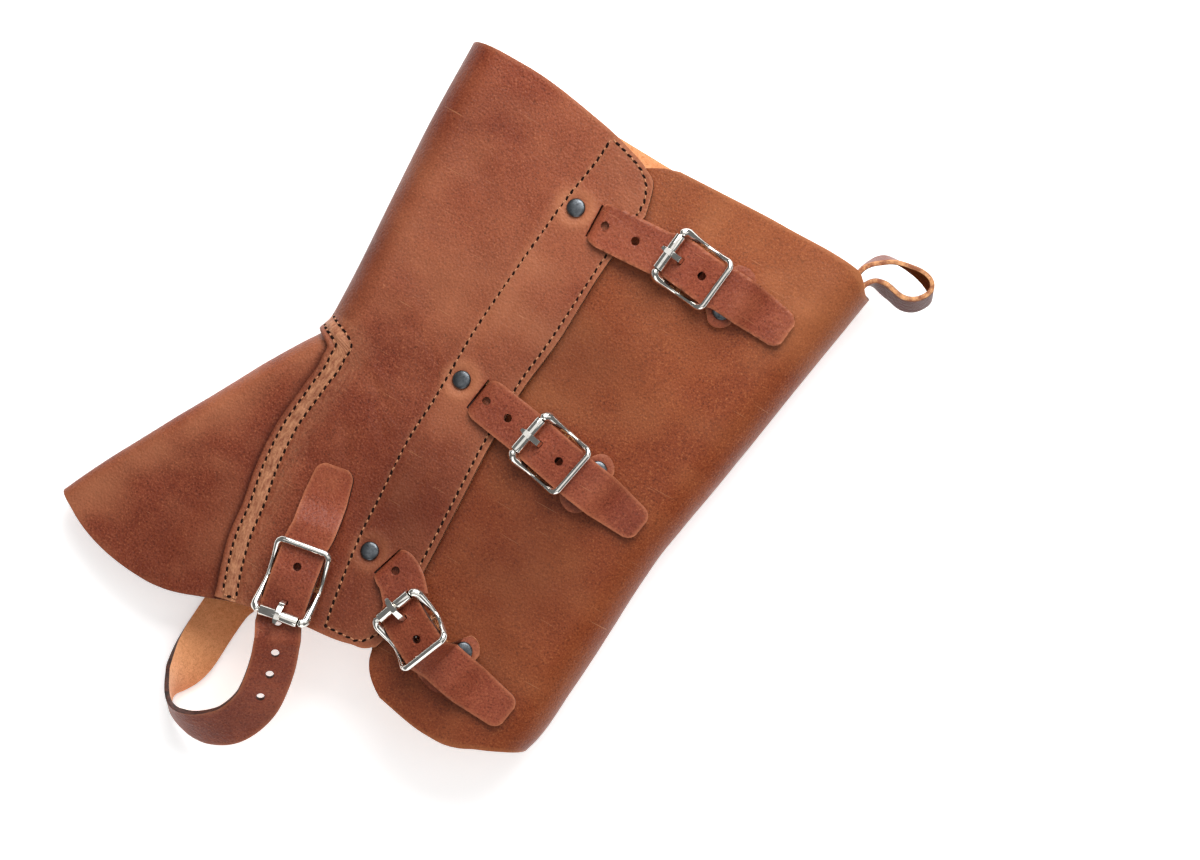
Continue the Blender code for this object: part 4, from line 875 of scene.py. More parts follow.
def makeFrame(x, y, turn, pitch, roll, below, path=None):
    # A buckle's frame: foot point under the centre bar, and unit axes along, across and up. It is raised
    # by sin(roll) and sin(pitch) times its half width and half length, so that its low side stays clear.
    up = faceNormal(x, y)
    along = Vector((math.cos(math.radians(turn)), math.sin(math.radians(turn)), 0.0))
    along = (along - up * along.dot(up)).normalized()
    tilt = Matrix.Rotation(math.radians(-pitch), 3, up.cross(along))
    along, up = tilt @ along, tilt @ up
    up = Matrix.Rotation(math.radians(roll), 3, along) @ up
    raiseBy = (abs(math.sin(math.radians(roll))) * buckle["rollClear"]
               + abs(math.sin(math.radians(pitch))) * buckle["pitchClear"])
    return {"axes": np.array([along[:], up.cross(along)[:], up[:]]), "below": below, "path": path,
            "foot": np.array([x, y, float(topFace(x, y)) - below + raiseBy])}


def rigid(place, points):
    # Points of a buckle's own frame, moved as one solid.
    return place["foot"] + points @ place["axes"]


def laid(place, points):
    # Points of the frame carried along the plan path: a along it, b to its left, c above the leather.
    path = place["path"]
    a = points[:, 0]
    tx = curve(path, "x", a + 0.5) - curve(path, "x", a - 0.5)
    ty = curve(path, "y", a + 0.5) - curve(path, "y", a - 0.5)
    size = np.hypot(tx, ty)
    x = curve(path, "x", a) - points[:, 1] * ty / size
    y = curve(path, "y", a) + points[:, 1] * tx / size
    return np.stack([x, y, topFace(x, y) - place["below"] + points[:, 2]], axis=-1)


def blended(place, points):
    # Rigid as far as the buckle reaches from its centre bar, laid 3 mm beyond that, eased between.
    share = ease((np.abs(points[:, 0]) - buckle["firm"]) / buckle["firmFade"])[:, None]
    return rigid(place, points) * (1 - share) + laid(place, points) * share


def pathTable(points, centre):
    # Plan points as a table by the distance along them, counted from the point at the centre bar.
    points = np.array(points)
    last = points[-1] - points[-2]
    points = np.concatenate([points, [points[-1] + 10.0 * last / np.linalg.norm(last)]])
    a = lengthAlong(points)
    return {"a": tuple(a - a[centre]), "x": tuple(points[:, 0]), "y": tuple(points[:, 1])}


def stripGrid(a, c, half, thickness, columns, crown=0.0):
    # Both faces of a strip from its profile: profile +- thickness/2 along its normal, b across,
    # the upper face raised by crown (1 - b^2).
    da = np.gradient(a)
    dc = np.gradient(c)
    size = np.hypot(da, dc)
    b = np.linspace(-1, 1, columns)
    layers = []
    for side in (0.5, -0.5):
        lift = side * thickness + (crown * (1 - b ** 2) if side > 0 else 0 * b)
        grid = np.stack([a[:, None] - lift[None, :] * (dc / size)[:, None], half[:, None] * b[None, :],
                         c[:, None] + lift[None, :] * (da / size)[:, None]], axis=-1)
        layers.append(grid.reshape(-1, 3))
    return layers, quads(np.arange(len(a) * columns).reshape(len(a), columns))


def stripFields(along, across, half, total, seed):
    # worn along both edges and at the tip, rubbed wear with a painted edge highlight, and in clouds; shade,
    # here a random darker tone, in smaller clouds.
    edge = bell(half - np.abs(across), 0.9)
    cloud = np.maximum(softNoise(along, across, 12.0, seed), 0)
    tip = bell(total - along, 1.2)
    return {"worn": np.clip(0.65 * edge + 0.25 * cloud + 0.6 * tip, 0, 1), "band": np.zeros(len(along)),
            "shade": np.clip(0.2 * softNoise(along, across, 9.0, seed + 1), 0, 1)}


def resample(a, c, step):
    # The same profile with points no further apart than step.
    length = lengthAlong(np.column_stack([a, c]))
    fine = np.unique(np.concatenate([np.linspace(0, length[-1], int(length[-1] / step) + 2), length]))
    fine = fine[np.concatenate([[True], np.diff(fine) > 0.12])]
    table = {"l": tuple(length), "a": tuple(a), "c": tuple(c)}
    return curve(table, "a", fine), curve(table, "c", fine)


def strapProfile(slotA, tail, tip, reach):
    # Strap from its hidden end up through the slot, under the roller, over the centre bar, to its tip.
    low = tube["lap"] - leather["panel"] - leather["facing"] - 2 * leather["gap"] - leather["strap"] / 2
    high = tube["lap"] + leather["gap"] + leather["strap"] / 2
    turn = np.linspace(0, math.pi / 2, 6)
    a = [slotA - tail, slotA - 6.0] + list(slotA - strap["bend"] + strap["bend"] * np.sin(turn))
    c = [low, low] + list(low + strap["bend"] - strap["bend"] * np.cos(turn))
    a += list(slotA + strap["bend"] - strap["bend"] * np.cos(turn))
    c += list(high - strap["bend"] + strap["bend"] * np.sin(turn))
    beyond = 5.1 + leather["strap"] / 2
    earA = chape["earA"]
    course = {"a": (slotA + 4.0, -reach - 3.0, -reach, -reach * 0.45, 0.0, reach * 0.5, reach, earA,
                    earA + 5.0, earA + 13.0, tip),
              "c": (high, high, high, overBar - 0.5, overBar, overBar - 0.9, beyond, beyond,
                    beyond - 0.1, 2.2, 1.7)}
    laidRun = np.linspace(slotA + 4.5, tip, 70)
    return np.array(a + list(laidRun)), np.array(c + list(curve(course, "c", laidRun)))


def roundEnd(fromEnd, half, radius):
    # Half width near a rounded end: corner arcs of the given radius.
    inset = np.clip(radius - fromEnd, 0.0, radius)
    return half - radius + np.sqrt(np.maximum(radius ** 2 - inset ** 2, 0.0))


def makeStrap(number, row):
    # Strip along the profile, tapered to its tip, narrow in the slot, with its punched and prong holes.
    path = pathTable(row["path"], strap["centrePoint"])
    place = makeFrame(*row["path"][strap["centrePoint"]], row["turn"], row["pitch"], row["roll"],
                      tube["lap"], path)
    slotA = path["a"][1]
    tip = path["a"][len(row["path"]) - 1]
    tail = math.dist(placketRivets[number - 1], row["path"][1]) + strap["pastRivet"]
    a, c = resample(*strapProfile(slotA, tail, tip, buckle["reach"]), strap["step"])
    last = tip - np.array(strap["tipCut"])
    keep = a < tip - 3.0
    a, c = np.concatenate([a[keep], last]), np.concatenate([c[keep], np.full(len(last), c[-1])])
    toTip = tip - a
    taper = np.minimum(toTip / strap["taperOver"], 1.0)
    half = roundEnd(toTip, row["tipHalf"] + (strap["half"] - row["tipHalf"]) * taper, strap["tipRound"])
    rise = np.sqrt(1 - (1 - np.clip((a - slotA - 0.1) / strap["corner"], 0.0, 1.0)) ** 2)
    half = np.minimum(half, strap["neck"] + (strap["half"] - strap["neck"]) * rise)
    columns = strap["columns"]
    c = c + 0.12 * softNoise(a, 0 * a, 9.0, 40 + number) * ease((a - slotA - 6.0) / 6.0)
    layers, faces = stripGrid(a, c, half, leather["strap"], columns)
    along = np.repeat(a, columns)
    across = layers[0][:, 1]
    fields = stripFields(along, across, np.repeat(half, columns), tip, 50 + number)
    outer = blended(place, layers[0])
    outer[:, 2] += 0.02 * softNoise(along, across, 2.6, 60 + number)
    piece = sheetObject(f"closureStrap{number}", outer, blended(place, layers[1]), faces,
                        [strapGrain, flesh, strapCut], fields, np.column_stack([across, along]))
    spots = [blended(place, np.array([[h, 0, 0], [h, 0, 20.0]])) for h in row["holes"]]
    tools = [holeTool(f"holes{number}", spots, strap["punch"], 3.0, 12.0),
             prongTool(f"prongCut{number}", place, buckle["reach"])]
    cutOut(piece, tools)
    softenEdges(piece, strap["wornEdge"])
    finishPiece(piece, [f"closure_{number}_strap"])
    return place, slotA


def spokes(up, sides):
    # Unit axis, and unit vectors square to it all round.
    up = Vector(up).normalized()
    side = up.orthogonal().normalized()
    turn = wheel(sides)
    around = np.cos(turn)[:, None] * np.array(side[:]) + np.sin(turn)[:, None] * np.array(up.cross(side)[:])
    return np.array(up[:]), around


def pinPoints(base, up, radius, low, high, sides):
    # Closed cylinder along up: two rings and the middles of its ends.
    axis, around = spokes(up, sides)
    ring = radius * around
    return np.concatenate([base + ring + low * axis, base + ring + high * axis,
                           [base + low * axis], [base + high * axis]])


def holeTool(name, spots, radius, low, high, sides=24):
    # Round punches, one for each pair of points (foot, a point above it).
    points = np.concatenate([pinPoints(base, above - base, radius, low, high, sides)
                             for base, above in spots])
    i = np.arange(sides)
    j = (i + 1) % sides
    bottom = 0 * i + 2 * sides
    one = np.concatenate([np.stack([i, j, sides + j], 1), np.stack([i, sides + j, sides + i], 1),
                          np.stack([j, i, bottom], 1), np.stack([sides + i, sides + j, bottom + 1], 1)])
    faces = np.concatenate([one + k * (2 * sides + 2) for k in range(len(spots))])
    return makeObject(name, points, faces, [strapCut])


# The prong's middle line: an eye round the centre bar, a climb out of the strap, then onto the roller.
prong = {"eyePoints": 12, "fromRoller": (6.8, 6.1, 5.2, 3.4, 1.6, 0.0, -1.7, -3.4), "up": (5.6, 8.4, 10.4),
         "under": (1.5, 0.4, 0.0, 0.1, 0.6), "cutFrom": (-2.6, 3.2), "room": 0.3, "crown": 0.35, "columns": 7}


def prongProfile(reach):
    # Clockwise round the centre bar from 100 to -143 degrees, then up and down onto the roller.
    ring = buckle["wire"] + leather["gap"] + buckle["prong"] / 2
    turn = np.radians(np.linspace(100.0, -143.0, prong["eyePoints"]))
    over = buckle["roller"] + buckle["rollerRadius"] + buckle["prong"] / 2 + leather["gap"]
    a = np.concatenate([ring * np.cos(turn), -reach + np.array(prong["fromRoller"])])
    rise = np.concatenate([prong["up"], over - np.array(prong["under"])])
    return a, np.concatenate([buckle["bar"] + ring * np.sin(turn), rise])


def prongTool(name, place, reach):
    # The prong's climb through the strap, a little larger all round.
    climb = slice(prong["eyePoints"], prong["eyePoints"] + 5)
    a, c = (np.concatenate([[start], values[climb]])
            for start, values in zip(prong["cutFrom"], prongProfile(reach)))
    layers, faces = stripGrid(a, c, np.full(len(a), buckle["prongHalf"] + prong["room"]),
                              buckle["prong"] + prong["room"], 3)
    # Its walls take the near-black awl-hole colour: painted shade inside the prong's hole.
    return sheetObject(name, rigid(place, layers[0]), rigid(place, layers[1]), faces, [holeDark] * 3)


def boxTool(name, centre, axes, halfA, halfB, low, high):
    # A box cutter, centred along and across, from low to high up its third axis.
    corners = np.array([(a, b, c) for c in (low, high) for b in (-halfB, halfB) for a in (-halfA, halfA)])
    faces = np.array([(2, 3, 1, 0), (5, 7, 6, 4), (1, 5, 4, 0), (3, 7, 5, 1), (2, 6, 7, 3), (0, 4, 6, 2)])
    return makeObject(name, np.asarray(centre) + corners @ np.asarray(axes), faces, [strapCut])


def slotTool(name, place, slotA, halfA, low, high):
    # A strap's slot, square to its path where it goes through the panel.
    middle = laid(place, np.array([[slotA + 0.1, 0.0, 0.0], [slotA + 1.0, 0.0, 0.0]]))
    along = Vector(middle[1] - middle[0]).normalized()
    across = Vector((0, 0, 1)).cross(along).normalized()
    up = along.cross(across)
    return boxTool(name, middle[0], [along[:], across[:], up[:]], halfA, strap["neck"] + 0.35, low, high)


def chapeProfile(length):
    # Upper layer towards the bar, round the bar, lower layer back to the rivets.
    lower = leather["gap"] + leather["chape"] / 2
    upper = lower + leather["chape"] + leather["gap"]
    ring = buckle["wire"] + leather["gap"] + leather["chape"] / 2
    flat = length - np.concatenate([np.array([0, 0.1, 0.3, 0.6]), np.linspace(1.0, length - 7.5, 30)])
    turn = np.radians(np.linspace(55.0, 270.0, 22))
    a = np.concatenate([flat, [4.4], ring * np.cos(turn), [3.0, 6.0], flat[::-1]])
    c = np.concatenate([np.full(len(flat), upper), [upper + 0.5], buckle["bar"] + ring * np.sin(turn),
                        [lower, lower], np.full(len(flat), lower)])
    return a, c


def earHalf(a, earShift):
    # Neck width, swelling to max(neck, ear + radius sqrt(1 - t^2)) at the rivets.
    if earShift is None:
        return np.where(a > chape["earA"] + 5.0, chape["neck"] - 1.5, chape["neck"])
    reach = np.clip(1 - ((a - chape["earA"]) / chape["earRadius"]) ** 2, 0.0, 1.0)
    wide = chape["earB"] - 2.0 + (chape["earRadius"] + 2.0) * np.sqrt(reach)
    return np.where(reach > 0.0, np.maximum(chape["neck"], wide), chape["neck"])


def makeChape(name, node, place, length, earShift, spots):
    # Folded strap round the centre bar, with the prong's window and the rivets' holes.
    a, c = chapeProfile(length)
    half = earHalf(a, earShift)
    columns = chape["columns"]
    layers, faces = stripGrid(a, c, half, leather["chape"], columns)
    for layer in layers:
        layer[:, 1] += (earShift or 0.0) * ease((layer[:, 0] - 13.0) / 5.0)
    along = np.repeat(a, columns)
    fields = stripFields(along, layers[0][:, 1], np.repeat(half, columns), length, 71)
    move = blended if place["path"] else rigid
    piece = sheetObject(name, move(place, layers[0]), move(place, layers[1]), faces,
                        [flesh, strapGrain, loopCut], fields, np.column_stack([layers[0][:, 1], along]))
    middle = rigid(place, np.array([[chape["windowA"], 0, 0]]))[0]
    tools = [boxTool(name + "Window", middle, place["axes"], **chape["window"]),
             holeTool(name + "Holes", spots, rivet["shank"] + 0.3, -0.6, 4.0)]
    cutOut(piece, tools)
    softenEdges(piece, 0.3, 2)
    finishPiece(piece, [node])


# Metal parts

def railHeight(a, reach):
    # Side rails: bar height + (|a|/reach)^1.4 up to the roller or end bar.
    share = np.clip(np.abs(a) / reach, 0.0, 1.0) ** 1.4
    return buckle["bar"] + share * (np.where(a < 0, buckle["roller"], buckle["end"]) - buckle["bar"])


def makeBuckleFrame(name, node, place, reach):
    # Round wire swept along a rounded rectangle whose rails dip; thin in the middle of each rail, thicker
    # towards the roller and at the end bar.
    corner = buckle["corner"]
    angles = np.linspace(0, math.pi / 2, 9)
    line = []
    # At each corner an arc, then the rail or the end that leads to the next corner
    for k, (sa, sb) in enumerate(((1, 1), (-1, 1), (-1, -1), (1, -1))):
        t = angles + k * math.pi / 2
        line.append(np.column_stack([sa * (reach - corner) + corner * np.cos(t),
                                     sb * (buckle["rail"] - corner) + corner * np.sin(t)]))
        if sa * sb > 0:
            rail = np.linspace(sa * (reach - corner), -sa * (reach - corner), 22)[1:-1]
            line.append(np.column_stack([rail, np.full(len(rail), sb * buckle["rail"])]))
        else:
            bar = np.linspace(sb * (buckle["rail"] - corner), -sb * (buckle["rail"] - corner), 8)[1:-1]
            line.append(np.column_stack([np.full(len(bar), sa * reach), bar]))
    line = np.concatenate(line)
    centre = np.column_stack([line, railHeight(line[:, 0], reach)])
    along = np.roll(centre, -1, axis=0) - np.roll(centre, 1, axis=0)
    side = unit(np.cross(along, (0.0, 0.0, 1.0)))
    upward = unit(np.cross(side, along))
    sides = 20
    turn = wheel(sides)
    share = line[:, 0] / reach
    flare = 0.94 + 0.66 * ease((-share - 0.05) / 0.8) + 0.26 * ease((share - 0.4) / 0.55)
    flare = np.where((share < -0.8) & (np.abs(line[:, 1]) < buckle["rollerHalf"] + 0.9), 1.0, flare)
    rings = (centre[:, None, :] + buckle["wire"] * flare[:, None, None]
             * (np.cos(turn)[None, :, None] * side[:, None, :] * 0.94
                + np.sin(turn)[None, :, None] * upward[:, None, :] * 1.04))
    faces = ringFaces(len(centre), sides, joined=True)[:, ::-1]
    piece = makeObject(name, rigid(place, rings.reshape(-1, 3)), faces, [nickel])
    fixOutside(piece)
    thick, end = buckle["barRadius"], buckle["rail"]
    bar = latheAcross(name + "Bar", place, 0.0, buckle["bar"],
                      [(0.0, -end), (thick, -end), (thick, end), (0.0, end)], sides)
    join = piece.modifiers.new("centre bar", "BOOLEAN")
    join.operation = "UNION"
    join.solver = "EXACT"
    join.object = bar
    settle(piece, [bar])
    return finishPiece(piece, [node])


def fixOutside(piece):
    # Turns every face round if the closed mesh has a negative volume.
    mesh = piece.data
    points = np.empty(len(mesh.vertices) * 3)
    mesh.vertices.foreach_get("co", points)
    points = points.reshape(-1, 3)
    mesh.calc_loop_triangles()
    tri = np.empty(len(mesh.loop_triangles) * 3, int)
    mesh.loop_triangles.foreach_get("vertices", tri)
    a, b, c = (points[tri.reshape(-1, 3)[:, k]] for k in range(3))
    if (a * np.cross(b, c)).sum() < 0:
        mesh.flip_normals()


def turnedPiece(name, points, sides, material):
    # Rings of points as one piece, closed at the axis, its turned edges kept sharp.
    piece = makeObject(name, points, ringFaces(len(points) // sides, sides), [material])
    work = bmesh.new()
    work.from_mesh(piece.data)
    bmesh.ops.remove_doubles(work, verts=work.verts, dist=1e-7)
    bmesh.ops.dissolve_degenerate(work, edges=work.edges, dist=1e-8)
    bmesh.ops.recalc_face_normals(work, faces=work.faces)
    work.to_mesh(piece.data)
    work.free()
    piece.data.shade_smooth()
    piece.data.set_sharp_from_angle(angle=math.radians(40))
    fixOutside(piece)
    return piece


def latheAcross(name, place, a, c, profile, sides):
    # Turned shape round a bar across the strap: profile rows are (radius, b).
    turn = wheel(sides)
    rings = [np.column_stack([a + radius * np.cos(turn), b + 0 * turn, c + radius * np.sin(turn)])
             for radius, b in profile]
    return turnedPiece(name, rigid(place, np.concatenate(rings)), sides, nickel)


def makeRoller(name, node, place, reach):
    # Tube on the frame's far rail, its rims rounded by two short steps.
    r, bore, half = buckle["rollerRadius"], buckle["rollerBore"], buckle["rollerHalf"]
    profile = [(bore, -half), (r - 0.35, -half), (r - 0.1, -half + 0.1), (r, -half + 0.35), (r, half - 0.35),
               (r - 0.1, half - 0.1), (r - 0.35, half), (bore, half), (bore, -half)]
    piece = latheAcross(name, place, -reach, buckle["roller"], profile, 40)
    return finishPiece(piece, [node])


def makeProng(name, node, place, reach):
    # Flat wire with a crowned top, narrowed to its end by 1 - 0.45 exp(-(left/1.2)^2).
    step = 0.5
    a, c = resample(*prongProfile(reach), step)
    left = np.arange(len(a))[::-1] * step
    half = buckle["prongHalf"] * (1 - 0.45 * bell(left, 1.2))
    layers, faces = stripGrid(a, c, half, buckle["prong"], prong["columns"], prong["crown"])
    piece = sheetObject(name, rigid(place, layers[0]), rigid(place, layers[1]), faces, [nickel] * 3)
    softenEdges(piece, 0.5, 4)
    return finishPiece(piece, [node])


def makeRivet(name, node, seat, up, grip):
    # Turned cap: a low dome with a rolled rim, on a shank with a flat foot.
    r, h = rivet["radius"], rivet["height"]
    t = np.linspace(0, 1, 12)[1:]
    dome = [(0.0, h)] + [(r * 0.93 * math.sin(k * math.pi / 2), h * (0.42 + 0.58 * math.cos(k * math.pi / 2)))
                         for k in t * 0.98]
    below = -grip - rivet["footHeight"]
    profile = dome + [(r * 0.985, h * 0.30), (r, h * 0.15), (r, 0.02), (r - 0.2, 0.0), (rivet["shank"], 0.0),
                      (rivet["shank"], -grip), (rivet["foot"], -grip), (rivet["foot"], below), (0.0, below)]
    sides = 36
    axis, around = spokes(up, sides)
    rings = [np.asarray(seat) + radius * around + height * axis for radius, height in profile]
    return finishPiece(turnedPiece(name, np.concatenate(rings), sides, gunmetal), [node])


def makeBuckle(names, node, place, reach):
    # Frame, roller and prong of one buckle.
    makeBuckleFrame(names[0], node + "_buckle_frame", place, reach)
    makeRoller(names[1], node + "_roller", place, reach)
    makeProng(names[2], node + "_prong", place, reach)


# Foot strap

def footCourse(place, count):
    # Strap in the foot buckle's frame, from the roller to the tip: firm as the buckle lies, then eased
    # down onto the panel, with its edges along the panel's slope.
    reach = foot["reach"]
    beyond = 5.25 + leather["strap"] / 2
    high = 5.0 + leather["strap"] / 2
    earA = chape["earA"]
    tip = math.dist(foot["tip"], (foot["x"], foot["y"]))
    course = {"a": (-reach - 4.0, -reach, -reach * 0.45, 0.0, reach * 0.5, reach, earA + 4.0,
                    earA + 14.0, tip),
              "c": (high, high, overBar - 0.5, overBar, overBar - 0.8, beyond, beyond, 2.4, 1.7)}
    nearTip = tip - np.array([2.0, 1.4, 0.8, 0.4, 0.15, 0.03])
    a = np.concatenate([np.linspace(-reach - 2.5, tip - 2.6, count), nearTip])
    flat = rigid(place, np.column_stack([a, 0 * a, 0 * a]))
    firm = rigid(place, np.column_stack([a, 0 * a, curve(course, "c", a)]))
    loose = np.column_stack([flat[:, :2], topFace(flat[:, 0], flat[:, 1]) + curve(course, "c", a)])
    share = np.where(a < 0, 0.0, ease((a - reach - 1.0) / 8.0))[:, None]
    points = firm * (1 - share) + loose * share
    side = place["axes"][1][:2] / np.linalg.norm(place["axes"][1][:2])
    left = points[:, :2] + strap["half"] * side
    right = points[:, :2] - strap["half"] * side
    slope = (topFace(left[:, 0], left[:, 1]) - topFace(right[:, 0], right[:, 1])) / (2 * strap["half"])
    edge = place["axes"][1] * (1 - share) + np.column_stack([np.tile(side, (len(a), 1)), slope]) * share
    return a, points, edge, tip


def makeFootStrap(place):
    # Three runs of one middle line: inside the panel to its slot, the free loop, the fastened run. The
    # strip's faces lie at middle +- thickness/2 along its normal.
    end, slot = np.array(foot["end"]), np.array(foot["slot"])
    gone = np.linalg.norm(slot - end)
    ahead = (slot - end) / gone
    inside = tube["lift"] + leather["panel"] + leather["gap"] + leather["strap"] / 2
    outside = leather["strap"] / 2
    bend = strap["bend"]
    turn = np.linspace(0, math.pi / 2, 10)
    run = np.concatenate([np.linspace(0, gone - bend - 1.0, 16), gone - bend + bend * np.sin(turn),
                          gone + bend - bend * np.cos(turn)])
    drop = np.concatenate([np.full(16, inside), inside - bend + bend * np.cos(turn),
                           outside + bend - bend * np.sin(turn)])
    start = np.column_stack([end[0] + ahead[0] * run, end[1] + ahead[1] * run, drop])
    rows = len(footLoop["x"])
    knots = {"k": tuple(range(rows)), **footLoop}
    k = np.linspace(0, rows - 1, 11 * (rows - 1) + 1)
    loop = np.column_stack([curve(knots, key, k) for key in ("x", "y", "z")])
    roll = np.radians(curve(knots, "roll", k))
    a, upper, upperEdge, tip = footCourse(place, 56)
    centre = np.concatenate([start, loop, upper])
    flat = np.gradient(centre, axis=0)[:, :2]
    flat[:len(start)] = ahead
    flat = unit(flat)
    angle = np.concatenate([np.zeros(len(start)), roll, np.full(len(upper), math.pi)])
    edge = np.column_stack([flat[:, 1] * np.cos(angle), -flat[:, 0] * np.cos(angle), np.sin(angle)])
    edge[-len(upper):] = upperEdge
    free, fastened = len(start), len(edge) - len(upper)
    for smoothing in range(6):
        edge[free + 1:fastened] = (edge[free:fastened - 1] + 2 * edge[free + 1:fastened]
                                   + edge[free + 2:fastened + 1]) / 4
    half = np.full(len(centre), strap["half"])
    half[:len(start) + 4] = strap["half"] - 0.3
    half[-len(upper):] = roundEnd(tip - a, np.minimum(strap["half"], 8.2 + (tip - a) * 0.10),
                                  strap["tipRound"])
    along = unit(np.gradient(centre, axis=0))
    normal = unit(np.cross(along, edge))
    across = np.cross(normal, along)
    columns = strap["columns"]
    b = np.linspace(-1, 1, columns)
    middle = centre[:, None, :] + across[:, None, :] * (half[:, None] * b[None, :])[:, :, None]
    shift = normal[:, None, :] * leather["strap"] / 2
    length = lengthAlong(centre)
    alongAll = np.repeat(length, columns)
    acrossAll = (half[:, None] * b[None, :]).ravel()
    fields = stripFields(alongAll, acrossAll, np.repeat(half, columns), length[-1], 91)
    index = np.arange(len(centre) * columns).reshape(len(centre), columns)
    outer = (middle + shift).reshape(-1, 3)
    pebbling = 0.05 * softNoise(alongAll, acrossAll, 2.6, 93)
    outer += np.repeat(normal, columns, axis=0) * pebbling[:, None]
    outer[:, 2] = np.maximum(outer[:, 2], 0.0)
    piece = sheetObject("footStrap", outer, (middle - shift).reshape(-1, 3), quads(index),
                        [strapGrain, flesh, strapCut], fields, np.column_stack([acrossAll, alongAll]))
    spots = []
    for back in foot["holesBack"]:
        i = int(np.argmin(np.abs(length - (length[-1] - tip - foot["reach"] - back))))
        spots.append(np.array([centre[i] - 4 * normal[i], centre[i] + 4 * normal[i]]))
    inWindow = rigid(place, np.array([[foot["windowHole"], 0, 0], [foot["windowHole"], 0, 20.0]]))
    tools = [holeTool("footHoles", spots, strap["punch"], 0.0, 8.0),
             holeTool("footWindowHole", [inWindow], strap["punch"], 3.0, 12.0),
             prongTool("footProngCut", place, foot["reach"])]
    cutOut(piece, tools)
    softenEdges(piece, strap["wornEdge"])
    finishPiece(piece, ["foot_strap"])
    return float(length[-1])


# Pull loop, a strip standing on edge in the calf fold

pullLoop = {"z": 18.2, "half": 6.0, "lean": 2.3, "leanWay": (0.5, -0.866), "points": (
    (94.2, 106.0), (96.2, 116.0), (97.6, 126.0), (98.1, 134.2), (101.0, 140.0), (105.6, 143.9),
    (111.5, 145.4), (117.6, 145.7), (122.8, 145.1), (127.1, 143.2), (128.8, 139.8), (127.5, 136.2),
    (124.2, 132.8), (119.2, 131.4), (112.7, 132.6), (107.0, 133.0), (103.2, 131.0), (101.5, 125.5),
    (99.5, 116.0), (97.5, 106.0))}


def makePullLoop():
    # Strip swept along a plan curve: middle +- thickness/2 across it, width along z.
    line = throughPoints(pullLoop["points"], 8)
    along = unit(np.gradient(line, axis=0))
    normal = np.column_stack([-along[:, 1], along[:, 0]])
    columns = 9
    b = np.linspace(-1, 1, columns)
    shape = (len(line), columns)
    z = pullLoop["z"] + pullLoop["half"] * np.broadcast_to(b, shape)
    layers = []
    for side in (0.5, -0.5):
        xy = line + normal * side * leather["loop"]
        layers.append(np.stack([np.broadcast_to(xy[:, :1], shape), np.broadcast_to(xy[:, 1:], shape), z],
                               axis=-1).reshape(-1, 3))
    length = lengthAlong(line)
    fromEnd = np.minimum(length, length[-1] - length)
    lean = pullLoop["lean"] * (ease((length - 46.0) / 18.0) * ease((fromEnd - 25.0) / 10.0)
                               - 0.6 * bell(length - 39.0, 6.0))
    lean = lean[:, None] * -b[None, :]  # its low edge lies further out, and further in where it starts
    for layer in layers:
        layer[:, :2] += lean.ravel()[:, None] * np.array(pullLoop["leanWay"])
    alongAll = np.repeat(length, columns)
    acrossAll = np.tile(b * pullLoop["half"], len(line))
    fields = stripFields(alongAll, acrossAll, np.full(len(alongAll), pullLoop["half"]), length[-1], 97)
    # Painted shade over the whole loop, deeper on its second half, less along its top edge.
    fields["shade"] = np.clip(0.55 + 0.4 * ease((alongAll - 44.0) / 8.0) - 0.3 * (acrossAll > 4.6), 0, 1)
    index = np.arange(shape[0] * columns).reshape(shape)
    piece = sheetObject("pullLoop", layers[0], layers[1], quads(index), [strapGrain, shadedLoopFlesh, loopCut],
                        fields, np.column_stack([acrossAll, alongAll]))
    softenEdges(piece, 0.5)
    finishPiece(piece, ["pull_loop"])
    return float(length[-1])


# Stitches

def stitchRow(line, normals, pitch):
    # Points a pitch apart along a line in space, with the direction and the face's normal at each.
    steps = lengthAlong(line)
    count = int(steps[-1] / pitch)
    at = (np.arange(count) + 0.5) * steps[-1] / count
    points, before, after, upright = (
        np.column_stack([np.interp(where, steps, column) for column in table.T])
        for where, table in ((at, line), (at - 0.4, line), (at + 0.4, line), (at, normals)))
    return points, unit(after - before), unit(upright)


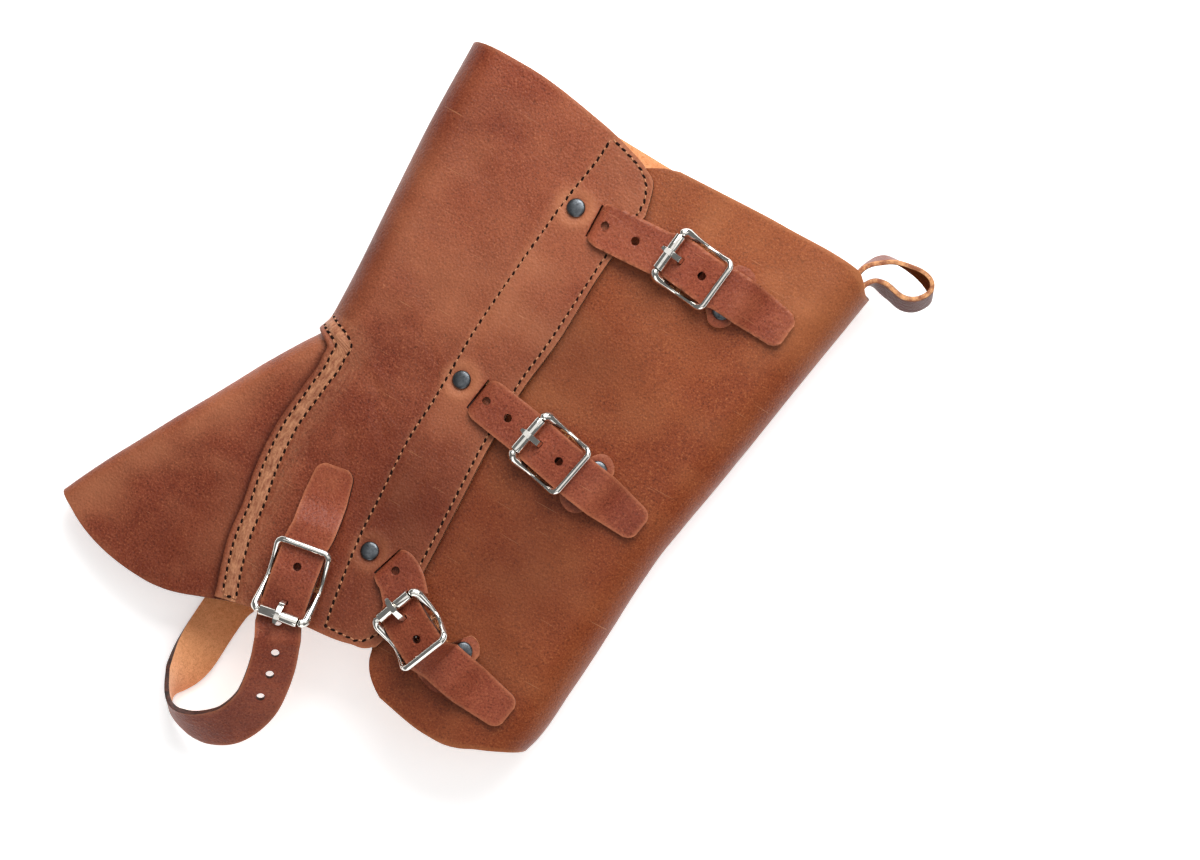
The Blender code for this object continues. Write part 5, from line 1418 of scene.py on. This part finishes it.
def lozenges(name, points, ahead, normals, shape, material, rings):
    # One ellipsoid for each point: half along the row (turned by slant), width across, height up.
    sides = 8
    slant = math.radians(shape["slant"])
    theta = np.linspace(0, math.pi, rings + 2)[1:-1]
    turn = wheel(sides)
    ball = np.concatenate([[(-1.0, 0.0, 0.0)],
                           np.stack([np.repeat(-np.cos(theta), sides),
                                     np.outer(np.sin(theta), np.cos(turn)).ravel(),
                                     np.outer(np.sin(theta), np.sin(turn)).ravel()], axis=-1),
                           [(1.0, 0.0, 0.0)]])
    ball[:, 0] = np.sign(ball[:, 0]) * np.abs(ball[:, 0]) ** 0.75
    i = np.arange(sides)
    j = (i + 1) % sides
    faces = [np.stack([0 * i, 1 + j, 1 + i, 1 + i], 1)]
    for ring in range(rings - 1):
        base = 1 + ring * sides
        faces.append(np.stack([base + i, base + j, base + sides + j, base + sides + i], 1))
    base = 1 + (rings - 1) * sides
    faces.append(np.stack([base + i, base + j, 0 * i + base + sides, 0 * i + base + sides], 1))
    faces = np.concatenate(faces)
    across = unit(np.cross(normals, ahead))
    turned = ahead * math.cos(slant) + across * math.sin(slant)
    side = np.cross(normals, turned)
    size = noiseSource.uniform(0.9, 1.1, (len(points), 1))
    cloud = (points[:, None, :] + normals[:, None, :] * shape["lift"]
             + turned[:, None, :] * ball[None, :, :1] * shape["half"] * size[:, None, :]
             + side[:, None, :] * ball[None, :, 1:2] * shape["width"]
             + normals[:, None, :] * ball[None, :, 2:3] * shape["height"])
    count = len(ball)
    allFaces = (faces[None, :, :] + (np.arange(len(points)) * count)[:, None, None]).reshape(-1, 4)
    triangles = np.concatenate([allFaces[:, [0, 1, 2]], allFaces[:, [0, 2, 3]]])
    triangles = triangles[(triangles[:, 0] != triangles[:, 1]) & (triangles[:, 1] != triangles[:, 2])
                          & (triangles[:, 0] != triangles[:, 2])]
    piece = makeObject(name, cloud.reshape(-1, 3), triangles, [material])
    fixOutside(piece)
    return finishPiece(piece, [])


def surfaceRow(s, y, lateral):
    # A row on the finished outer face, with the face's normal from two short steps.
    half = leather["panel"] / 2
    step = 0.6
    relief = lateralRelief(s, y) if lateral else calfRelief(s, y, tubePoint(s, y, 0.0))
    flatPoint = tubePoint(s, y, -half)
    normal = unit(np.cross(tubePoint(s + step, y, -half) - flatPoint,
                           tubePoint(s, y + step, -half) - flatPoint))
    outward = flatPoint - tubePoint(s, y, half)
    return tubePoint(s, y, -half - relief), normal * np.sign((normal * outward).sum(axis=1))[:, None]


def makeStitches():
    # Both seam rows on both sides, a short row at the hem, and both placket rows; a stitch at each
    # pitch and an awl hole half a pitch further.
    lines = []
    ahead = unit(np.gradient(archLine, axis=0))
    for row in seamRows:
        away, y = (archLine + row / seamScale * np.column_stack([ahead[:, 1], -ahead[:, 0]])).T
        keep = (y > stitching["fromY"]) & (away > 0.6)
        for lateral in (True, False):
            lines.append((away[keep] if lateral else -away[keep], y[keep], lateral))
    hemS = np.linspace(*seamRows, 8)
    hemY = np.full(8, stitching["fromY"] + 0.4)
    lines.append((archArc(hemY) + hemS, hemY + 0.25 * (hemS - seamRows[0]), True))
    for line in (lineA, lineB):
        lines.append((sAtX(line[:, 0], line[:, 1]), line[:, 1], True))
    rows = [stitchRow(*surfaceRow(s, y, lateral), stitching["pitch"]) for s, y, lateral in lines]
    points, ahead, normals = (np.concatenate(column) for column in zip(*rows))
    lozenges("seamThread", points, ahead, normals, stitching["thread"], thread, 5)
    between = points + ahead * stitching["pitch"] / 2
    # Near-black lozenges at the awl holes: painted shade inside each hole.
    lozenges("awlHoles", between, ahead, normals, stitching["hole"], holeDark, 4)
    return len(points)


# Build order: straps and chapes first, because their slots cut the panels

print("stage: closures")
seatC = 2 * leather["gap"] + 2 * leather["chape"]
panelTools = []
facingTools = []
punches = []
for number, row in enumerate(closures, 1):
    place, slotA = makeStrap(number, row)
    ears = blended(place, np.array([[chape["earA"], row["earShift"] + side * chape["earB"], 0.0]
                                    for side in (1, -1)]))
    spots = []
    for tag, ear in zip(("up", "down"), ears):
        up = np.array(faceNormal(ear[0], ear[1])[:])
        spots.append(np.array([ear, ear + up]))
        makeRivet(f"chapeRivet{number}{tag}", f"closure_{number}_chape_rivet_{tag}",
                  ear + np.array([0, 0, seatC]) + rivet["seat"] * up, up,
                  seatC + leather["panel"] + 2 * rivet["seat"])
    makeChape(f"closureChape{number}", f"closure_{number}_chape", place, chape["end"], row["earShift"], spots)
    punches += spots
    makeBuckle([f"{part}{number}" for part in ("buckleFrame", "roller", "prong")], f"closure_{number}",
               place, buckle["reach"])
    rx, ry = placketRivets[number - 1]
    up = np.array(faceNormal(rx, ry)[:])
    spot = np.array([rx, ry, float(topFace(rx, ry))])
    grip = leather["panel"] + leather["facing"] + leather["strap"] + 2 * leather["gap"] + 2 * rivet["seat"]
    makeRivet(f"placketRivet{number}", f"placket_rivet_{number}", spot + rivet["seat"] * up - 0.25 * up, up,
              grip)
    punches.append(np.array([spot, spot + up]))
    split = strap["slotSplit"]
    panelTools.append(slotTool(f"slot{number}", place, slotA, strap["slotHalf"], split, 9.0))
    facingTools.append(slotTool(f"facingSlot{number}", place, slotA, strap["facingSlotHalf"], -3.0, split))

print("stage: foot strap and pull loop")
footPlace = makeFrame(foot["x"], foot["y"], foot["turn"], 0.0, 0.0, 0.0)
footLength = makeFootStrap(footPlace)
footSpot = rigid(footPlace, np.array([[chape["earA"] + 1.5, 0.0, 0.0]]))[0]
footUp = footPlace["axes"][2]
makeChape("footChape", "foot_chape", footPlace, chape["earA"] + 7.0, None,
          [np.array([footSpot, footSpot + footUp])])
makeBuckle(("footBuckleFrame", "footRoller", "footProng"), "foot", footPlace, foot["reach"])
makeRivet("footChapeRivet", "foot_chape_rivet", footSpot + footUp * (seatC + rivet["seat"]), footUp,
          seatC + leather["panel"] + 3 * rivet["seat"])
punches.append(np.array([footSpot, footSpot + footUp]))
for number, (x, y) in enumerate(foot["rivets"], 1):
    base = np.array([x, y, tube["lift"] - leather["gap"]])
    makeRivet(f"footRivet{number}", f"foot_rivet_{number}", base, (0, 0, -1),
              leather["panel"] + leather["strap"] + 2 * leather["gap"] + 0.4)
    punches.append(np.array([base + (0, 0, 2.0), base + (0, 0, 3.0)]))
ahead = Vector((foot["slot"][0] - foot["end"][0], foot["slot"][1] - foot["end"][1], 0.0)).normalized()
slotAxes = [ahead[:], Vector((0, 0, 1)).cross(ahead)[:], (0, 0, 1)]
panelTools.append(boxTool("footSlot", (*foot["slot"], tube["lift"]), slotAxes, **foot["slotCut"]))
pullLength = makePullLoop()

print("stage: panels")
panelTools.append(holeTool("rivetHoles", punches, rivet["shank"] + 0.3, -4.0, 3.0))
main = makeMainPanel()
facing = makeFacing()
vamp = makeVamp()
cutOut(facing, facingTools + panelTools[-1:], facingTools)
cutOut(main, panelTools)
for piece, width in ((main, mainPanel["wornEdge"]), (facing, 0.35), (vamp, mainPanel["wornEdge"])):
    softenEdges(piece, width)
finishPiece(main, ["main_panel"])
finishPiece(facing, ["placket_facing"])
finishPiece(vamp, ["vamp"])
print("stage: stitches", makeStitches())

print("strap lengths, mm: foot", round(footLength), "pull loop", round(pullLength))


# Camera, floor and light

view = {"centre": (36.4, 21.0), "turn": 30.0, "away": 2.0, "frameWidth": 0.504, "level": 0.030, "sensor": 36.0}
cameraData = bpy.data.cameras.new("camera")
cameraData.sensor_width = view["sensor"]
cameraData.lens = view["sensor"] * view["away"] / view["frameWidth"]
cameraData.clip_start = 0.1
cameraData.clip_end = 20.0
camera = bpy.data.objects.new("camera", cameraData)
camera.location = (view["centre"][0] * mm, view["centre"][1] * mm, view["level"] + view["away"])
camera.rotation_euler = (0.0, 0.0, math.radians(view["turn"]))
bpy.context.scene.collection.objects.link(camera)
bpy.context.scene.camera = camera

# Paper so bright that it looks white wherever no shadow falls, with a faint tooth.
floorMaterial, floorTree, paper = startMaterial("white paper sweep")
white = mixTones(floorTree, noise(floorTree, paper, 1.1, 2.0), "f8f8f8", "fdfdfd")
finishMaterial(floorMaterial, floorTree, Base_Color=white, Roughness=0.9,
               Emission_Color=(1.0, 1.0, 1.0, 1.0), Emission_Strength=0.45)
reach = 6000.0
floor = makeObject("floor", [(-reach, -reach, 0), (reach, -reach, 0), (reach, reach, 0), (-reach, reach, 0)],
                   [(0, 1, 2, 3)], [floorMaterial])
floor.location.z = -0.0002

# Soft boxes: name, place in the camera's own right/up/height, size, watts
softBoxes = (
    ("key", (0.26, 0.78, 0.70), 0.9, 16.5),
    ("overhead", (0.0, 0.0, 2.5), 2.4, 14.0),
    ("side", (1.0, -0.1, 1.0), 0.6, 1.2),
    ("front", (0.0, -1.0, 0.45), 0.8, 3.0),
)
turn = math.radians(view["turn"])
for name, (right, up, high), size, watts in softBoxes:
    light = bpy.data.lights.new(name, "AREA")
    light.shape = "SQUARE"
    light.size = size
    light.energy = watts
    lamp = bpy.data.objects.new(name, light)
    lamp.location = (right * math.cos(turn) - up * math.sin(turn),
                     right * math.sin(turn) + up * math.cos(turn), high)
    lamp.rotation_euler = (-Vector(lamp.location)).to_track_quat("-Z", "Y").to_euler()
    bpy.context.scene.collection.objects.link(lamp)

world = bpy.data.worlds.new("studio")
world.use_nodes = True
background = world.node_tree.nodes["Background"]
background.inputs["Color"].default_value = (1.0, 1.0, 1.0, 1.0)
background.inputs["Strength"].default_value = 0.17
bpy.context.scene.world = world
bpy.context.scene.view_settings.view_transform = "Standard"
